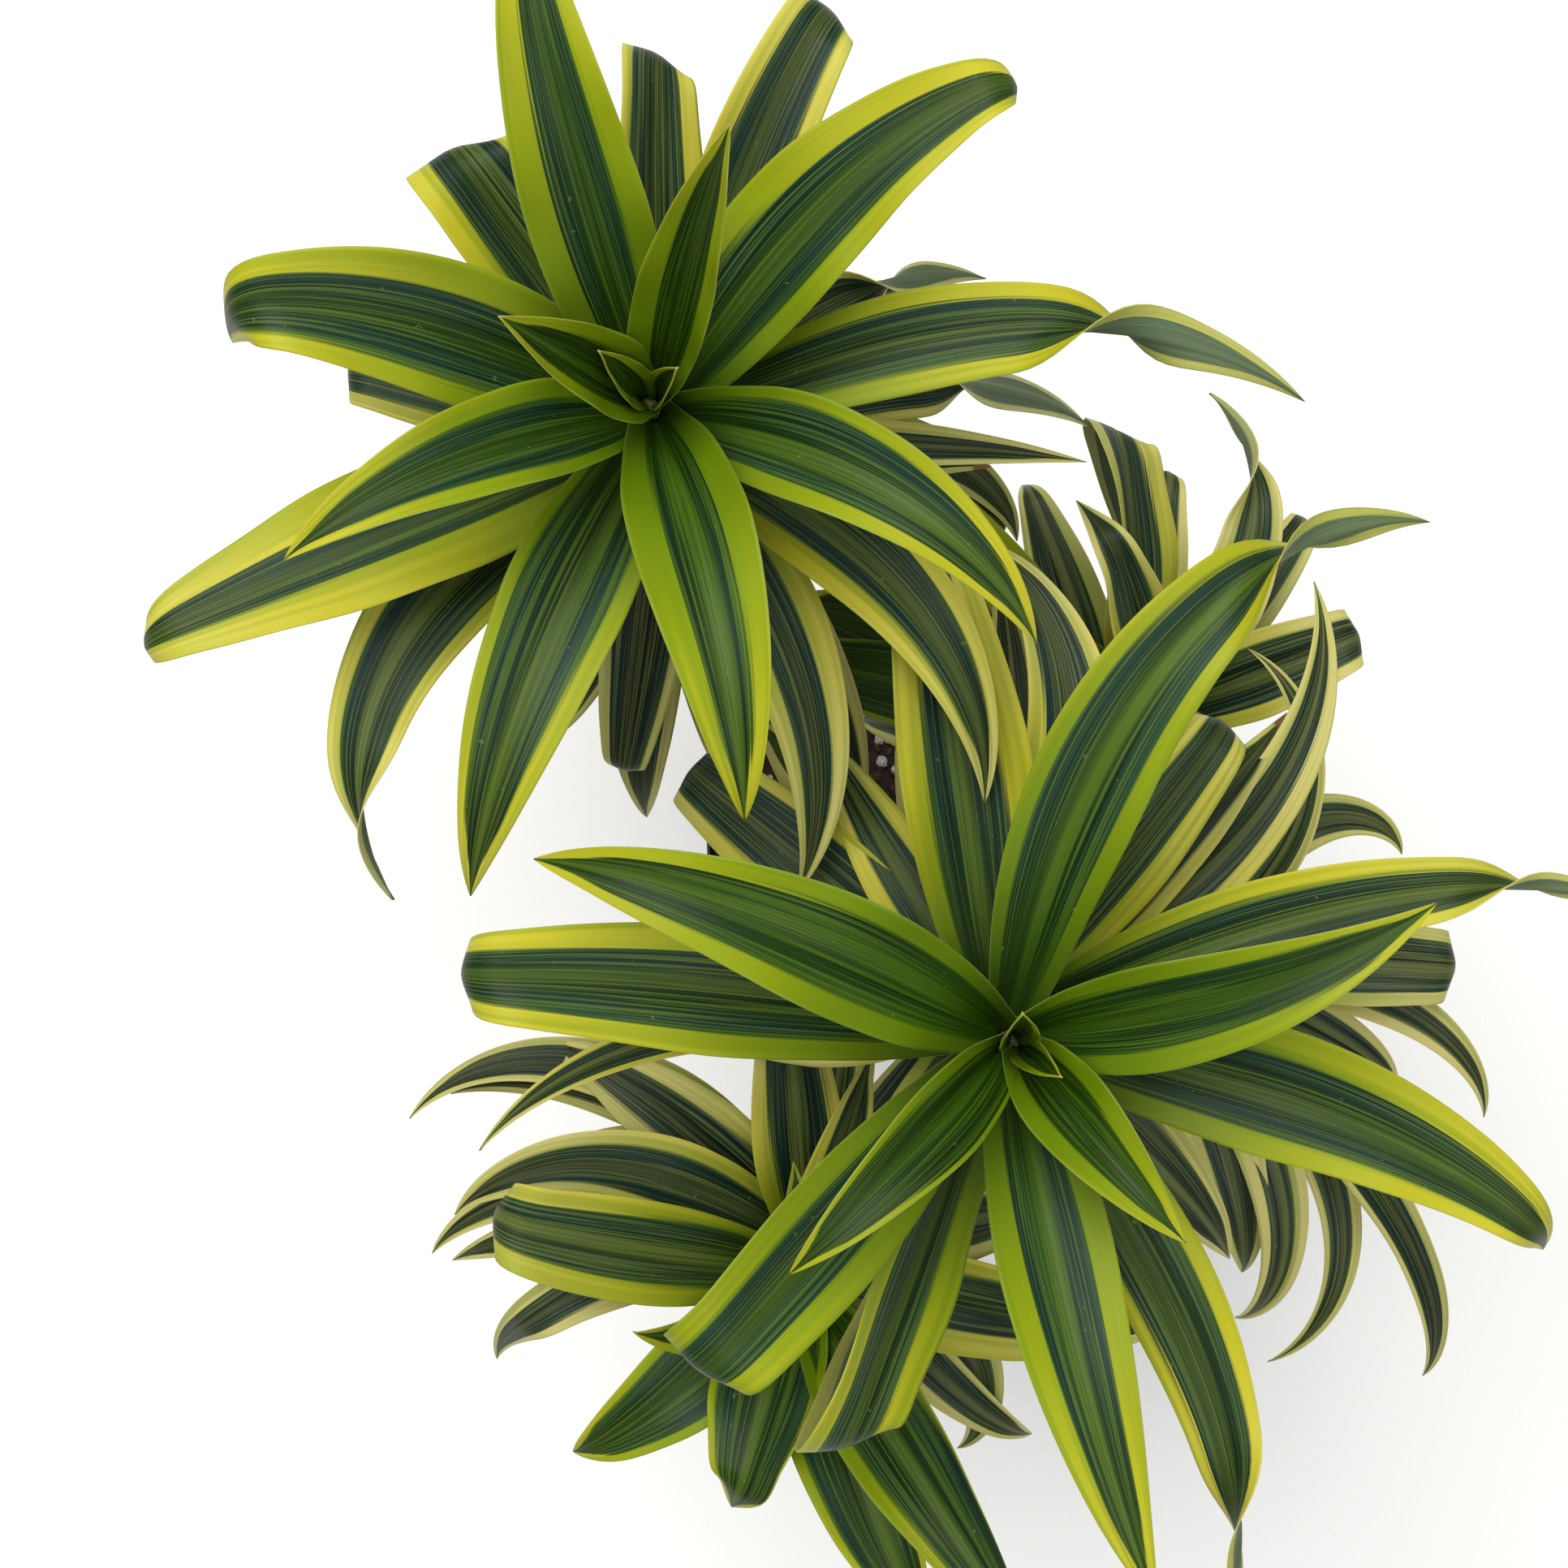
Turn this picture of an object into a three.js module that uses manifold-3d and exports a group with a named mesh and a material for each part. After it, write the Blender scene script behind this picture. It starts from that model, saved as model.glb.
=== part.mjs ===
// Potted song of india: a variegated Dracaena reflexa with five leafy heads on
// four bare canes, in a plain black nursery pot. Millimetres, +Z up. The origin
// is the middle of the pot's underside.

import * as THREE from 'three';
import { mergeVertices } from 'three/addons/utils/BufferGeometryUtils.js';
import Module from 'manifold-3d';

const wasm = await Module();
wasm.setup();

// Pot
const POT_HEIGHT = 150;
const POT_RIM_RADIUS = 85;
const POT_BASE_RADIUS = 62.5;
const POT_WALL = 1.6;
const POT_FLOOR = 2;
const COLLAR_HEIGHT = 17;
const COLLAR_STEP = 3.2;
const ROUND_SIDES = 40;
const DRAIN_COUNT = 6;
const DRAIN_RADIUS = 4.5;
const DRAIN_CIRCLE = 42;

// Soil
const SOIL_TOP = 130;
const SOIL_MOUND = 4;
const CLEARANCE = 0.3;

// Canes
const CANE_SIDES = 8;
const CANE_FOOT = 45;
const CANE_STRAIGHT_TO = 142;
const CANE_FOOT_RADIUS = 8;
const CANE_TOP_RADIUS = 5.5;
const CANE_STEPS = 7;
const HOLE_CLEARANCE = 0.4;

// Leafy stems
const STEM_SIDES = 6;
const STEM_TOP_RADIUS = 2.2;
const STEM_FOOT_RADIUS = 5.5;

// Leaf blades
const BLADE_THICKNESS = 1.3;
const LEAF_INSET = 2.5;
const FOOT_SHARE = 0.42;
const WIDEST_AT = 0.4;
const TAPER = 1.6;
const POINT_SHARE = 0.02;
const THIN_SHARE = 0.55;
const FLAT_CHANNEL = 14;
const UPRIGHT_CHANNEL = 42;
const FLAT_RISE = 25;
const UPRIGHT_SPAN = 50;
const TIP_CHANNEL_SHARE = 0.4;
const CLASP = 20;
const CLASP_SPAN = 0.2;
const FOLD_SPAN = 0.16;
const TWIST_SPAN = 0.3;
const FOLD_ARCH = 30;
const TWIST_CHANNEL = 24;
const LEAF_STEPS = 120;
const GOLDEN_ANGLE = 137.5;
const OLDER_WIDTH = 23;
const OLDER_RISE = -8;
const OLDER_DROOP = 45;
// How far a draw can take an older leaf from these.
const VARIATION = { length: 25, width: 5, rise: 24, droop: 20, sway: 50, roll: 24 };

// Each head: the tip of its stem, the way that the stem points there, how long
// its leafy stem is, and which leaves it carries. A leaf is a row of
//   below    distance of its foot under the stem's tip
//   heading  way it points in plan, in degrees from +X towards +Y
//   length, width
//   rise     angle of its foot above the level, in degrees
//   droop    how far it has bent down at its tip, in degrees
//   sway     how far it has turned sideways at its tip, in degrees
//   roll     turn about its own length at the foot, in degrees
//   twist    half turn or less that it makes in the outer part, in degrees
//   crease   sharp bend down in the outer part, in degrees
//   at       where twist or crease sits, as a share of the length
const HEADS = {
  a: {
    tip: [-88, 135, 520],
    axis: [0, 0, 1],
    stem: 122,
    leaves: [
      [2, 150, 46, 14, 80, 6, 0, 0, 0, 0, 0.8],
      [3, 20, 38, 12, 80, 2, 0, 0, 0, 0, 0.8],
      [4, 166, 80, 28, 71, 15, -6, 0, 0, 0, 0.8],
      [8, 66, 115, 26, 63, 3, -7, 0, 0, 0, 0.8],
      [14, 289, 142, 37, 48, 100, -18, 0, 0, 0, 0.8],
      [16, 109, 158, 36, 46, 60, -16, 0, 0, 0, 0.8],
      [18, 201, 127, 31, 51, 75, 16, 0, 0, 0, 0.8],
      [22, 342, 147, 32, 42, 85, -44, 0, 0, 0, 0.8],
      [26, 51, 163, 38, 30, 25, -46, 0, 0, 110, 0.86],
      [28, 159, 162, 40, 35, 40, 50, -8, 0, 80, 0.76],
      [32, 246, 162, 37, 30, 80, 10, 0, 0, 0, 0.8],
      [38, 17, 198, 30, 20, 40, -50, 0, -170, 0, 0.69],
      [42, 205, 188, 43, 22, 30, 0, 10, 0, 90, 0.86],
      [50, 127, 178, 38, 22, 10, 0, 15, 0, 130, 0.56],
      [54, 331, 165, 32, 26, 62, -64, 0, 0, 0, 0.8],
      [58, 213, 186, 34, 20, 50, 88, 0, 120, 0, 0.84],
      [60, 90, 170, 30, 16, 20, 0, 30, 0, 130, 0.66],
      [62, 72, 206, 30, 16, 20, -34, 10, 0, 130, 0.66],
      [64, 167, 145, 32, 13, 20, 5, 0, 0, 110, 0.66],
      [66, 305, 158, 30, 13, 50, -60, 0, 0, 0, 0.8],
      [68, 41, 120, 22, 17, 60, -46, 0, 170, 0, 0.68],
      [72, 359, 132, 16, 10, 25, -6, 0, 0, 0, 0.8],
      [76, 17, 149, 24, 8, 60, -44, 0, 160, 0, 0.62],
      [78, 8, 152, 20, -7, 66, -76, 0, 0, 0, 0.8],
      [80, 40, 100, 24, 5, 10, -28, 0, 0, 0, 0.8],
      [82, 263, 131, 28, -2, 40, -6, 0, 0, 80, 0.8],
      [84, 357, 104, 20, 8, 30, 0, 0, 0, 0, 0.8],
      [86, 309, 154, 22, -4, 50, -42, 0, 0, 0, 0.8],
      [88, 356, 150, 28, -8, 60, -30, 0, 0, 60, 0.85],
      [90, 262, 150, 28, -15, 60, 10, 0, 0, 0, 0.8],
      [94, 283, 150, 28, -20, 55, -10, 0, 0, 0, 0.8],
    ],
    older: { count: 6, below: 98, spacing: 3.5, heading: 110, length: 115 },
  },
  b: {
    tip: [15, -46, 520],
    axis: [0, 0, 1],
    stem: 122,
    leaves: [
      [2, 100, 48, 15, 80, 6, 0, 0, 0, 0, 0.8],
      [3, 330, 40, 12, 80, 2, 0, 0, 0, 0, 0.8],
      [4, 309, 80, 27, 56, 60, 4, 0, 0, 0, 0.8],
      [6, 219, 104, 25, 55, 88, 9, 0, 0, 0, 0.8],
      [10, 150, 163, 36, 42, 92, 26, 0, 0, 0, 0.8],
      [12, 14.5, 132, 32, 46, 56, 20, 0, 0, 0, 0.8],
      [18, 279, 166, 34, 33, 55, 14, 0, 0, 0, 0.8],
      [22, 79, 213, 34, 29, 60, -84, 0, -170, 0, 0.78],
      [24, 225, 219, 35, 26, 20, 0, -10, 0, 150, 0.6],
      [28, 351, 190, 38, 18, 34, -46, 0, 0, 50, 0.84],
      [34, 248, 221, 34, 18, 15, 0, -38, 0, 128, 0.575],
      [36, 169.5, 217, 38, 20, 20, 20, 0, 0, 110, 0.73],
      [40, 305, 197, 30, 18, 50, -45, 0, 150, 0, 0.8],
      [44, 25, 192, 28, 18, 30, -40, 0, -170, 0, 0.81],
      [52, 97, 184, 41, 9, 30, 10, 0, 0, 90, 0.82],
      [56, 177, 176, 16, 8, 40, 58, 30, 0, 0, 0.8],
      [58, 123, 114, 26, -9, 50, -10, 0, 0, 0, 0.8],
      [60, 52, 160, 28, 12, 10, 6, 0, 0, 110, 0.7],
      [62, 68, 167, 32, 10, 50, 78, 0, 0, 0, 0.8],
      [64, 141, 178, 34, -10, 30, 0, 0, 0, 120, 0.72],
      [66, 44, 137, 24, 12, 50, 4, 0, 0, 0, 0.8],
      [70, 128, 136, 26, -14, 35, 0, 0, 0, 0, 0.8],
      [72, 31, 188, 24, 8, 40, 70, 0, 0, 0, 0.8],
      [76, 82, 150, 26, 0, 40, 20, 0, 0, 0, 0.8],
      [80, 320, 136, 29, -5, 50, -20, 0, 0, 0, 0.8],
    ],
    older: { count: 8, below: 84, spacing: 4, heading: 190, length: 90 },
  },
  c: {
    tip: [92, 58, 335],
    axis: [0.45, 0.35, 0.82],
    stem: 88,
    leaves: [
      [2, 60, 50, 14, 66, 4, 0, 0, 0, 0, 0.8],
      [6, 300, 70, 24, 50, 40, 0, 0, 0, 0, 0.8],
      [8, 220, 80, 24, 60, 20, 0, 0, 0, 0, 0.8],
      [10, 163, 150, 44, 4, 34, 0, 0, 0, 0, 0.8],
      [12, 114, 125, 28, 62, 30, 10, 0, 0, 80, 0.8],
      [16, 101, 188, 32, 45, 40, 8, 40, 0, 150, 0.64],
      [20, 22, 118, 33, 36, 50, 0, 0, 0, 100, 0.72],
      [24, 89, 112, 30, 29, 50, -21, 0, 0, 80, 0.84],
      [30, 50, 146, 28, 36, 60, 85, 0, 120, 0, 0.77],
      [34, 168, 162, 34, 18, 30, 0, 0, 0, 0, 0.8],
      [36, 45, 133, 26, 21, 60, 20, 0, 0, 60, 0.8],
      [40, 109, 116, 28, 24, 50, 0, 0, 0, 60, 0.85],
      [44, 129, 172, 30, 52, 10, 4, 0, 0, 0, 0.8],
      [46, 205, 150, 26, 0, 40, 0, 0, 0, 0, 0.8],
    ],
    older: { count: 5, below: 52, spacing: 5, heading: 330, length: 85 },
  },
  d: {
    tip: [110, -46, 345],
    axis: [0.5, -0.2, 0.81],
    stem: 88,
    leaves: [
      [2, 20, 50, 14, 66, 4, 0, 0, 0, 0, 0.8],
      [6, 150, 62, 20, 62, 10, 0, 0, 0, 0, 0.8],
      [26, 66, 121, 24, 25, 70, -134, 0, 0, 0, 0.8],
      [28, 48, 148, 16, 42, 60, 100, 0, 0, 0, 0.8],
      [30, 2, 165, 32, 14, 11, -20, 0, 0, 100, 0.6],
      [34, 317, 215, 22, 19, 80, -50, 40, 0, 0, 0.8],
      [36, 356, 158, 20, 13, 60, -75, 0, 0, 0, 0.8],
      [40, 291, 145, 30, 14, 81, -13, 0, 0, 0, 0.8],
      [44, 339, 131, 24, 10, 80, -26, 0, 0, 0, 0.8],
      [46, 306, 186, 24, 15, 90, -76, 0, 0, 0, 0.8],
      [50, 320, 206, 20, 9, 50, -106, 0, 0, 0, 0.8],
    ],
    older: { count: 6, below: 56, spacing: 4.5, heading: 55, length: 80 },
  },
  e: {
    tip: [-46, -159, 365],
    axis: [-0.15, -0.45, 0.87],
    stem: 92,
    leaves: [
      [2, 120, 50, 14, 68, 4, 0, 0, 0, 0, 0.8],
      [6, 89, 99, 18, 58, 15, 8, 0, 0, 0, 0.8],
      [10, 190, 88, 22, 54, 3, -40, 0, 0, 0, 0.8],
      [14, 306, 150, 38, 44, 50, 0, 0, 0, 0, 0.8],
      [18, 250, 96, 42, 38, 40, 6, 20, 0, 60, 0.78],
      [20, 75, 100, 24, 40, 40, 0, 0, 0, 0, 0.8],
      [22, 168, 172, 38, 27, 20, -14, 0, 0, 110, 0.66],
      [24, 284, 140, 42, 34, 50, 20, 0, 0, 0, 0.8],
      [26, 350, 140, 36, 30, 60, 10, 0, 0, 0, 0.8],
      [28, 221, 121, 38, 38, 100, -8, 0, 0, 0, 0.8],
      [30, 94, 134, 34, 33, 44, 4, 0, 0, 0, 0.8],
      [34, 144, 148, 30, 26, 40, 90, 0, 0, 20, 0.85],
      [36, 62, 110, 26, 25, 50, -10, 0, 0, 0, 0.8],
      [38, 12, 110, 32, 26, 60, 0, 0, 0, 0, 0.8],
      [40, 184, 158, 24, 12, 10, 75, 0, 0, 60, 0.66],
      [42, 135, 128, 34, 19, 60, 30, 0, 0, 0, 0.8],
      [44, 310, 130, 22, 13, 80, 20, 0, 0, 0, 0.8],
      [46, 176, 150, 22, 8, 60, 40, 0, 0, 0, 0.8],
      [48, 332, 129, 24, 8, 60, -110, 0, 0, 0, 0.8],
      [50, 134, 176, 24, 10, 20, 100, 20, 0, 0, 0.8],
      [52, 165, 165, 20, 12, 60, 75, 0, 0, 0, 0.8],
      [54, 151, 145, 20, 5, 60, 129, 0, 0, 0, 0.8],
      [56, 143, 150, 22, 10, 24, 60, 20, 0, 0, 0.8],
    ],
    older: { count: 6, below: 60, spacing: 4.5, heading: 250, length: 95 },
  },
};

// Where each cane stands in the soil, and the heads that it carries.
const CANES = {
  cane_a: { root: [-26, 24], heads: ['a'] },
  cane_b: { root: [2, -14], heads: ['b'] },
  cane_cd: { root: [34, 6], fork: [40, 5, 205], heads: ['c', 'd'] },
  cane_e: { root: [-20, -34], heads: ['e'] },
};

const radians = (degrees) => (degrees * Math.PI) / 180;

// 0 up to a step, 1 after it, and a smooth rise between.
function ease(x) {
  const t = Math.min(1, Math.max(0, x));
  return t * t * (3 - 2 * t);
}

// A repeatable number from 0 to 1 for a leaf and one of its traits.
function draw(leaf, trait) {
  const wave = Math.sin(leaf * 12.9898 + trait * 78.233) * 43758.5453;
  return wave - Math.floor(wave);
}

// Solids: closed three.js geometry to and from a manifold.

function toSolid(geometry) {
  const bare = geometry.clone();
  bare.deleteAttribute('normal');
  bare.deleteAttribute('uv');
  const merged = mergeVertices(bare, 1e-4);
  return new wasm.Manifold(new wasm.Mesh({
    numProp: 3,
    vertProperties: Float32Array.from(merged.attributes.position.array),
    triVerts: Uint32Array.from(merged.index.array),
  }));
}

function toGeometry(solid) {
  const mesh = solid.getMesh();
  const geometry = new THREE.BufferGeometry();
  const positions = new Float32Array(mesh.vertProperties);
  geometry.setAttribute('position', new THREE.BufferAttribute(positions, 3));
  geometry.setIndex(new THREE.BufferAttribute(new Uint32Array(mesh.triVerts), 1));
  geometry.computeVertexNormals();
  return geometry;
}

function union(solids) {
  return solids.reduce((whole, next) => whole.add(next));
}

// The same solid without the pockets that its leaves seal off against the stem.
function filled(solid) {
  return union(solid.decompose().filter((shell) => shell.volume() > 0));
}

// A closed skin over rings of equal count, each ring counter-clockwise seen
// from the end that the rings run towards. Both ends are closed by a fan. The
// upper and lower face of a blade are split along the same diagonals, so that
// they stay apart where it twists.
function loft(rings, isBlade = false) {
  const sides = rings[0].length;
  const positions = rings.flat().flatMap((point) => point.toArray());
  const faces = [];
  for (let ring = 0; ring < rings.length - 1; ring += 1) {
    for (let side = 0; side < sides; side += 1) {
      const here = ring * sides + side;
      const beside = ring * sides + ((side + 1) % sides);
      if (isBlade && side >= sides / 2) {
        faces.push(here, beside, here + sides);
        faces.push(beside, beside + sides, here + sides);
      } else {
        faces.push(here, beside, beside + sides);
        faces.push(here, beside + sides, here + sides);
      }
    }
  }
  const last = (rings.length - 1) * sides;
  for (let side = 1; side < sides - 1; side += 1) {
    faces.push(0, side + 1, side);
    faces.push(last, last + side, last + side + 1);
  }
  const geometry = new THREE.BufferGeometry();
  geometry.setAttribute('position', new THREE.Float32BufferAttribute(positions, 3));
  geometry.setIndex(faces);
  return geometry;
}

// A round stem along a curve, its radius going evenly from foot to top.
function stemSolid(curve, footRadius, topRadius, sides, steps) {
  const rings = [];
  for (let step = 0; step <= steps; step += 1) {
    const share = step / steps;
    const centre = curve.getPointAt(share);
    const along = curve.getTangentAt(share);
    const east = new THREE.Vector3(0, 1, 0).cross(along).normalize();
    const north = along.clone().cross(east);
    const radius = THREE.MathUtils.lerp(footRadius, topRadius, share);
    const ring = [];
    for (let side = 0; side < sides; side += 1) {
      const angle = (2 * Math.PI * side) / sides;
      ring.push(centre.clone()
        .addScaledVector(east, radius * Math.cos(angle))
        .addScaledVector(north, radius * Math.sin(angle)));
    }
    rings.push(ring);
  }
  return toSolid(loft(rings));
}

// Leaves

// Share of the full width at a share of the length: a foot that clasps the stem,
// widest before the middle, and a long taper to a fine point.
function widthShare(share) {
  if (share < WIDEST_AT) {
    const rise = Math.sin((0.5 * Math.PI * share) / WIDEST_AT);
    return FOOT_SHARE + (1 - FOOT_SHARE) * rise;
  }
  const past = (share - WIDEST_AT) / (1 - WIDEST_AT);
  return 1 - (1 - POINT_SHARE) * past ** TAPER;
}

// How many rings a blade gets, and how much more of them where it twists or folds.
function ringPlan(twist, crease) {
  if (twist) return { steps: 10, extra: 0.3, span: TWIST_SPAN };
  if (crease) return { steps: 8, extra: 0.5, span: FOLD_SPAN };
  return { steps: 6, extra: 0, span: FOLD_SPAN };
}

// How deep a blade is channelled, in degrees: most where it stands upright,
// clasps the stem or twists, and the other way round past a fold.
function channelAt(share, row, done) {
  const [, , , , rise, , , , twist, crease] = row;
  const uprightness = Math.min(1, Math.max(0, (rise - FLAT_RISE) / UPRIGHT_SPAN));
  const atFoot = FLAT_CHANNEL + UPRIGHT_CHANNEL * uprightness;
  const twisted = done(share, TWIST_SPAN);
  return atFoot * THREE.MathUtils.lerp(1, TIP_CHANNEL_SHARE, share)
    + CLASP * (1 - ease(share / CLASP_SPAN))
    + TWIST_CHANNEL * (Math.abs(twist) / 180) * 4 * twisted * (1 - twisted)
    - FOLD_ARCH * Math.min(1, crease / 90) * done(share, FOLD_SPAN);
}

// The diamond section of a blade: a shallow channel with thin edges.
function bladeRing(centre, across, face, half, channel, thick) {
  const edge = (side) => centre.clone()
    .addScaledVector(across, side * half * Math.cos(channel))
    .addScaledVector(face, half * Math.sin(channel));
  return [
    edge(1),
    centre.clone().addScaledVector(face, thick),
    edge(-1),
    centre.clone().addScaledVector(face, -thick),
  ];
}

// One blade: a thin channelled strip, bent and twisted step by step along its
// length.
function leafSolid(head, row) {
  const [below, heading, length, width, rise, droop, sway, roll, twist, crease, at] = row;
  const { steps, extra, span } = ringPlan(twist, crease);
  const done = (share, over) => ease((share - at) / over + 0.5);
  const start = radians(heading);
  const outward = new THREE.Vector3(Math.cos(start), Math.sin(start), 0);
  const place = new THREE.Vector3(...head.tip)
    .addScaledVector(new THREE.Vector3(...head.axis).normalize(), -below)
    .addScaledVector(outward, LEAF_INSET);
  const rings = [];
  for (let step = 0; step <= LEAF_STEPS; step += 1) {
    const share = step / LEAF_STEPS;
    const pitch = radians(rise - droop * share ** 2 - crease * done(share, FOLD_SPAN));
    const turn = start + radians(sway) * share ** 2;
    const along = new THREE.Vector3(
      Math.cos(turn) * Math.cos(pitch),
      Math.sin(turn) * Math.cos(pitch),
      Math.sin(pitch),
    );
    const passed = (share + extra * done(share, span)) / (1 + extra);
    if (passed > rings.length / steps - 1e-6) {
      const level = new THREE.Vector3(-Math.sin(turn), Math.cos(turn), 0);
      const upright = along.clone().cross(level);
      const lean = radians(roll + twist * done(share, TWIST_SPAN));
      const across = level.multiplyScalar(Math.cos(lean))
        .addScaledVector(upright, Math.sin(lean));
      const face = along.clone().cross(across);
      const channel = channelAt(share, row, done);
      const thick = 0.5 * BLADE_THICKNESS * THREE.MathUtils.lerp(1, THIN_SHARE, share);
      const half = 0.5 * width * widthShare(share);
      rings.push(bladeRing(place, across, face, half, radians(channel), thick));
    }
    place.addScaledVector(along, length / LEAF_STEPS);
  }
  return toSolid(loft(rings, true));
}

// The older leaves low on a stem, which hang on all sides of it by the golden
// angle, with seeded draws for their size and bend.
function olderLeaves(head, headIndex) {
  const { count, below, spacing, heading, length } = head.older;
  const rows = [];
  for (let leaf = 0; leaf < count; leaf += 1) {
    const pick = (trait) => draw(leaf + 1 + 20 * headIndex, trait);
    rows.push([
      below + spacing * leaf,
      heading + GOLDEN_ANGLE * leaf,
      length + VARIATION.length * pick(1),
      OLDER_WIDTH + VARIATION.width * pick(2),
      OLDER_RISE - VARIATION.rise * pick(3),
      OLDER_DROOP + VARIATION.droop * pick(4),
      VARIATION.sway * (pick(5) - 0.5),
      VARIATION.roll * (pick(6) - 0.5),
      0, 0, 0.8,
    ]);
  }
  return rows;
}

function headSolid(head, headIndex) {
  const axis = new THREE.Vector3(...head.axis).normalize();
  const tip = new THREE.Vector3(...head.tip);
  const foot = tip.clone().addScaledVector(axis, -head.stem);
  const stem = stemSolid(new THREE.LineCurve3(foot, tip),
    STEM_FOOT_RADIUS, STEM_TOP_RADIUS, STEM_SIDES, 1);
  const rows = [...head.leaves, ...olderLeaves(head, headIndex)];
  const whole = union([stem, ...rows.map((row) => leafSolid(head, row))]);
  return filled(whole);
}

// Canes

// The upright foot of a cane, and from there a smooth curve to a head's stem.
function caneCurve(start, head) {
  const axis = new THREE.Vector3(...head.axis).normalize();
  const end = new THREE.Vector3(...head.tip)
    .addScaledVector(axis, -head.stem - CLEARANCE);
  const lead = end.clone().addScaledVector(axis, -0.35 * (end.z - start.z));
  const leave = start.clone().add(new THREE.Vector3(0, 0, 0.3 * (end.z - start.z)));
  return new THREE.CubicBezierCurve3(start, leave, lead, end);
}

function caneSolid({ root, fork, heads }) {
  const foot = new THREE.Vector3(...root, CANE_FOOT);
  const collar = new THREE.Vector3(...root, CANE_STRAIGHT_TO);
  const pieces = [stemSolid(new THREE.LineCurve3(foot, collar),
    CANE_FOOT_RADIUS, CANE_FOOT_RADIUS, CANE_SIDES, 1)];
  let start = collar;
  if (fork) {
    start = new THREE.Vector3(...fork);
    const trunk = new THREE.LineCurve3(collar, start.clone().add(
      start.clone().sub(collar).setLength(2)));
    pieces.push(stemSolid(trunk, CANE_FOOT_RADIUS, CANE_FOOT_RADIUS, CANE_SIDES, 1));
  }
  for (const name of heads) {
    const below = start.clone().sub(new THREE.Vector3(0, 0, 2));
    const curve = caneCurve(below, HEADS[name]);
    pieces.push(stemSolid(curve, CANE_FOOT_RADIUS - 0.2, CANE_TOP_RADIUS,
      CANE_SIDES, CANE_STEPS));
  }
  return union(pieces);
}

// Pot and soil

const COLLAR_FOOT = POT_HEIGHT - COLLAR_HEIGHT;
const NECK_RADIUS = POT_RIM_RADIUS - 1 - COLLAR_STEP;

// Inside radius of the tapered wall under the collar.
function wallInside(z) {
  const share = (z - POT_FLOOR) / (COLLAR_FOOT - POT_FLOOR);
  const radius = THREE.MathUtils.lerp(POT_BASE_RADIUS, NECK_RADIUS, share);
  return radius - POT_WALL;
}

function turned(profile) {
  const points = profile.map(([radius, z]) => new THREE.Vector2(radius, z));
  const geometry = new THREE.LatheGeometry(points, ROUND_SIDES);
  return toSolid(geometry.rotateX(Math.PI / 2));
}

function potSolid() {
  const rimInside = POT_RIM_RADIUS - POT_WALL;
  let pot = turned([
    [0, 0],
    [POT_BASE_RADIUS - 1.5, 0],
    [POT_BASE_RADIUS, 1.5],
    [NECK_RADIUS, COLLAR_FOOT],
    [POT_RIM_RADIUS - 1, COLLAR_FOOT + 1],
    [POT_RIM_RADIUS, POT_HEIGHT - 1],
    [POT_RIM_RADIUS - 0.5, POT_HEIGHT],
    [rimInside, POT_HEIGHT],
    [rimInside - 1, COLLAR_FOOT + 3],
    [wallInside(COLLAR_FOOT), COLLAR_FOOT + 1.5],
    [wallInside(POT_FLOOR), POT_FLOOR],
    [0, POT_FLOOR],
  ]);
  for (let hole = 0; hole < DRAIN_COUNT; hole += 1) {
    const angle = (2 * Math.PI * (hole + 0.5)) / DRAIN_COUNT;
    const drill = new THREE.CylinderGeometry(DRAIN_RADIUS, DRAIN_RADIUS, 3 * POT_FLOOR, 12);
    drill.rotateX(Math.PI / 2);
    drill.translate(DRAIN_CIRCLE * Math.cos(angle), DRAIN_CIRCLE * Math.sin(angle), 0);
    pot = pot.subtract(toSolid(drill));
  }
  return pot;
}

function soilSolid() {
  const floor = POT_FLOOR + CLEARANCE;
  const edge = SOIL_TOP - SOIL_MOUND;
  let soil = turned([
    [0, floor],
    [wallInside(floor) - CLEARANCE, floor],
    [wallInside(edge) - CLEARANCE, edge],
    [0.6 * wallInside(edge), SOIL_TOP - 0.3 * SOIL_MOUND],
    [0, SOIL_TOP],
  ]);
  const radius = CANE_FOOT_RADIUS + HOLE_CLEARANCE;
  for (const { root } of Object.values(CANES)) {
    const bottom = new THREE.Vector3(...root, CANE_FOOT - CLEARANCE);
    const top = new THREE.Vector3(...root, CANE_STRAIGHT_TO);
    const hole = stemSolid(new THREE.LineCurve3(bottom, top), radius, radius, CANE_SIDES, 1);
    soil = soil.subtract(hole);
  }
  return soil;
}

// Assembly

function named(name, solid, colour, roughness, metalness = 0) {
  const material = new THREE.MeshStandardMaterial({ color: colour, roughness, metalness });
  const mesh = new THREE.Mesh(toGeometry(solid), material);
  mesh.name = name;
  return mesh;
}

const plant = new THREE.Group();
plant.add(named('pot', potSolid(), 0x121314, 0.3));
plant.add(named('soil', soilSolid(), 0x2c2018, 0.95));
for (const [name, cane] of Object.entries(CANES)) {
  plant.add(named(name, caneSolid(cane), 0x7d6f58, 0.8));
}
Object.entries(HEADS).forEach(([letter, head], headIndex) => {
  plant.add(named(`head_${letter}`, headSolid(head, headIndex), 0x6f8f2a, 0.45));
});

export default plant;
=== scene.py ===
import math
import bmesh
import bpy
from mathutils import Matrix, Vector, noise


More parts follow.
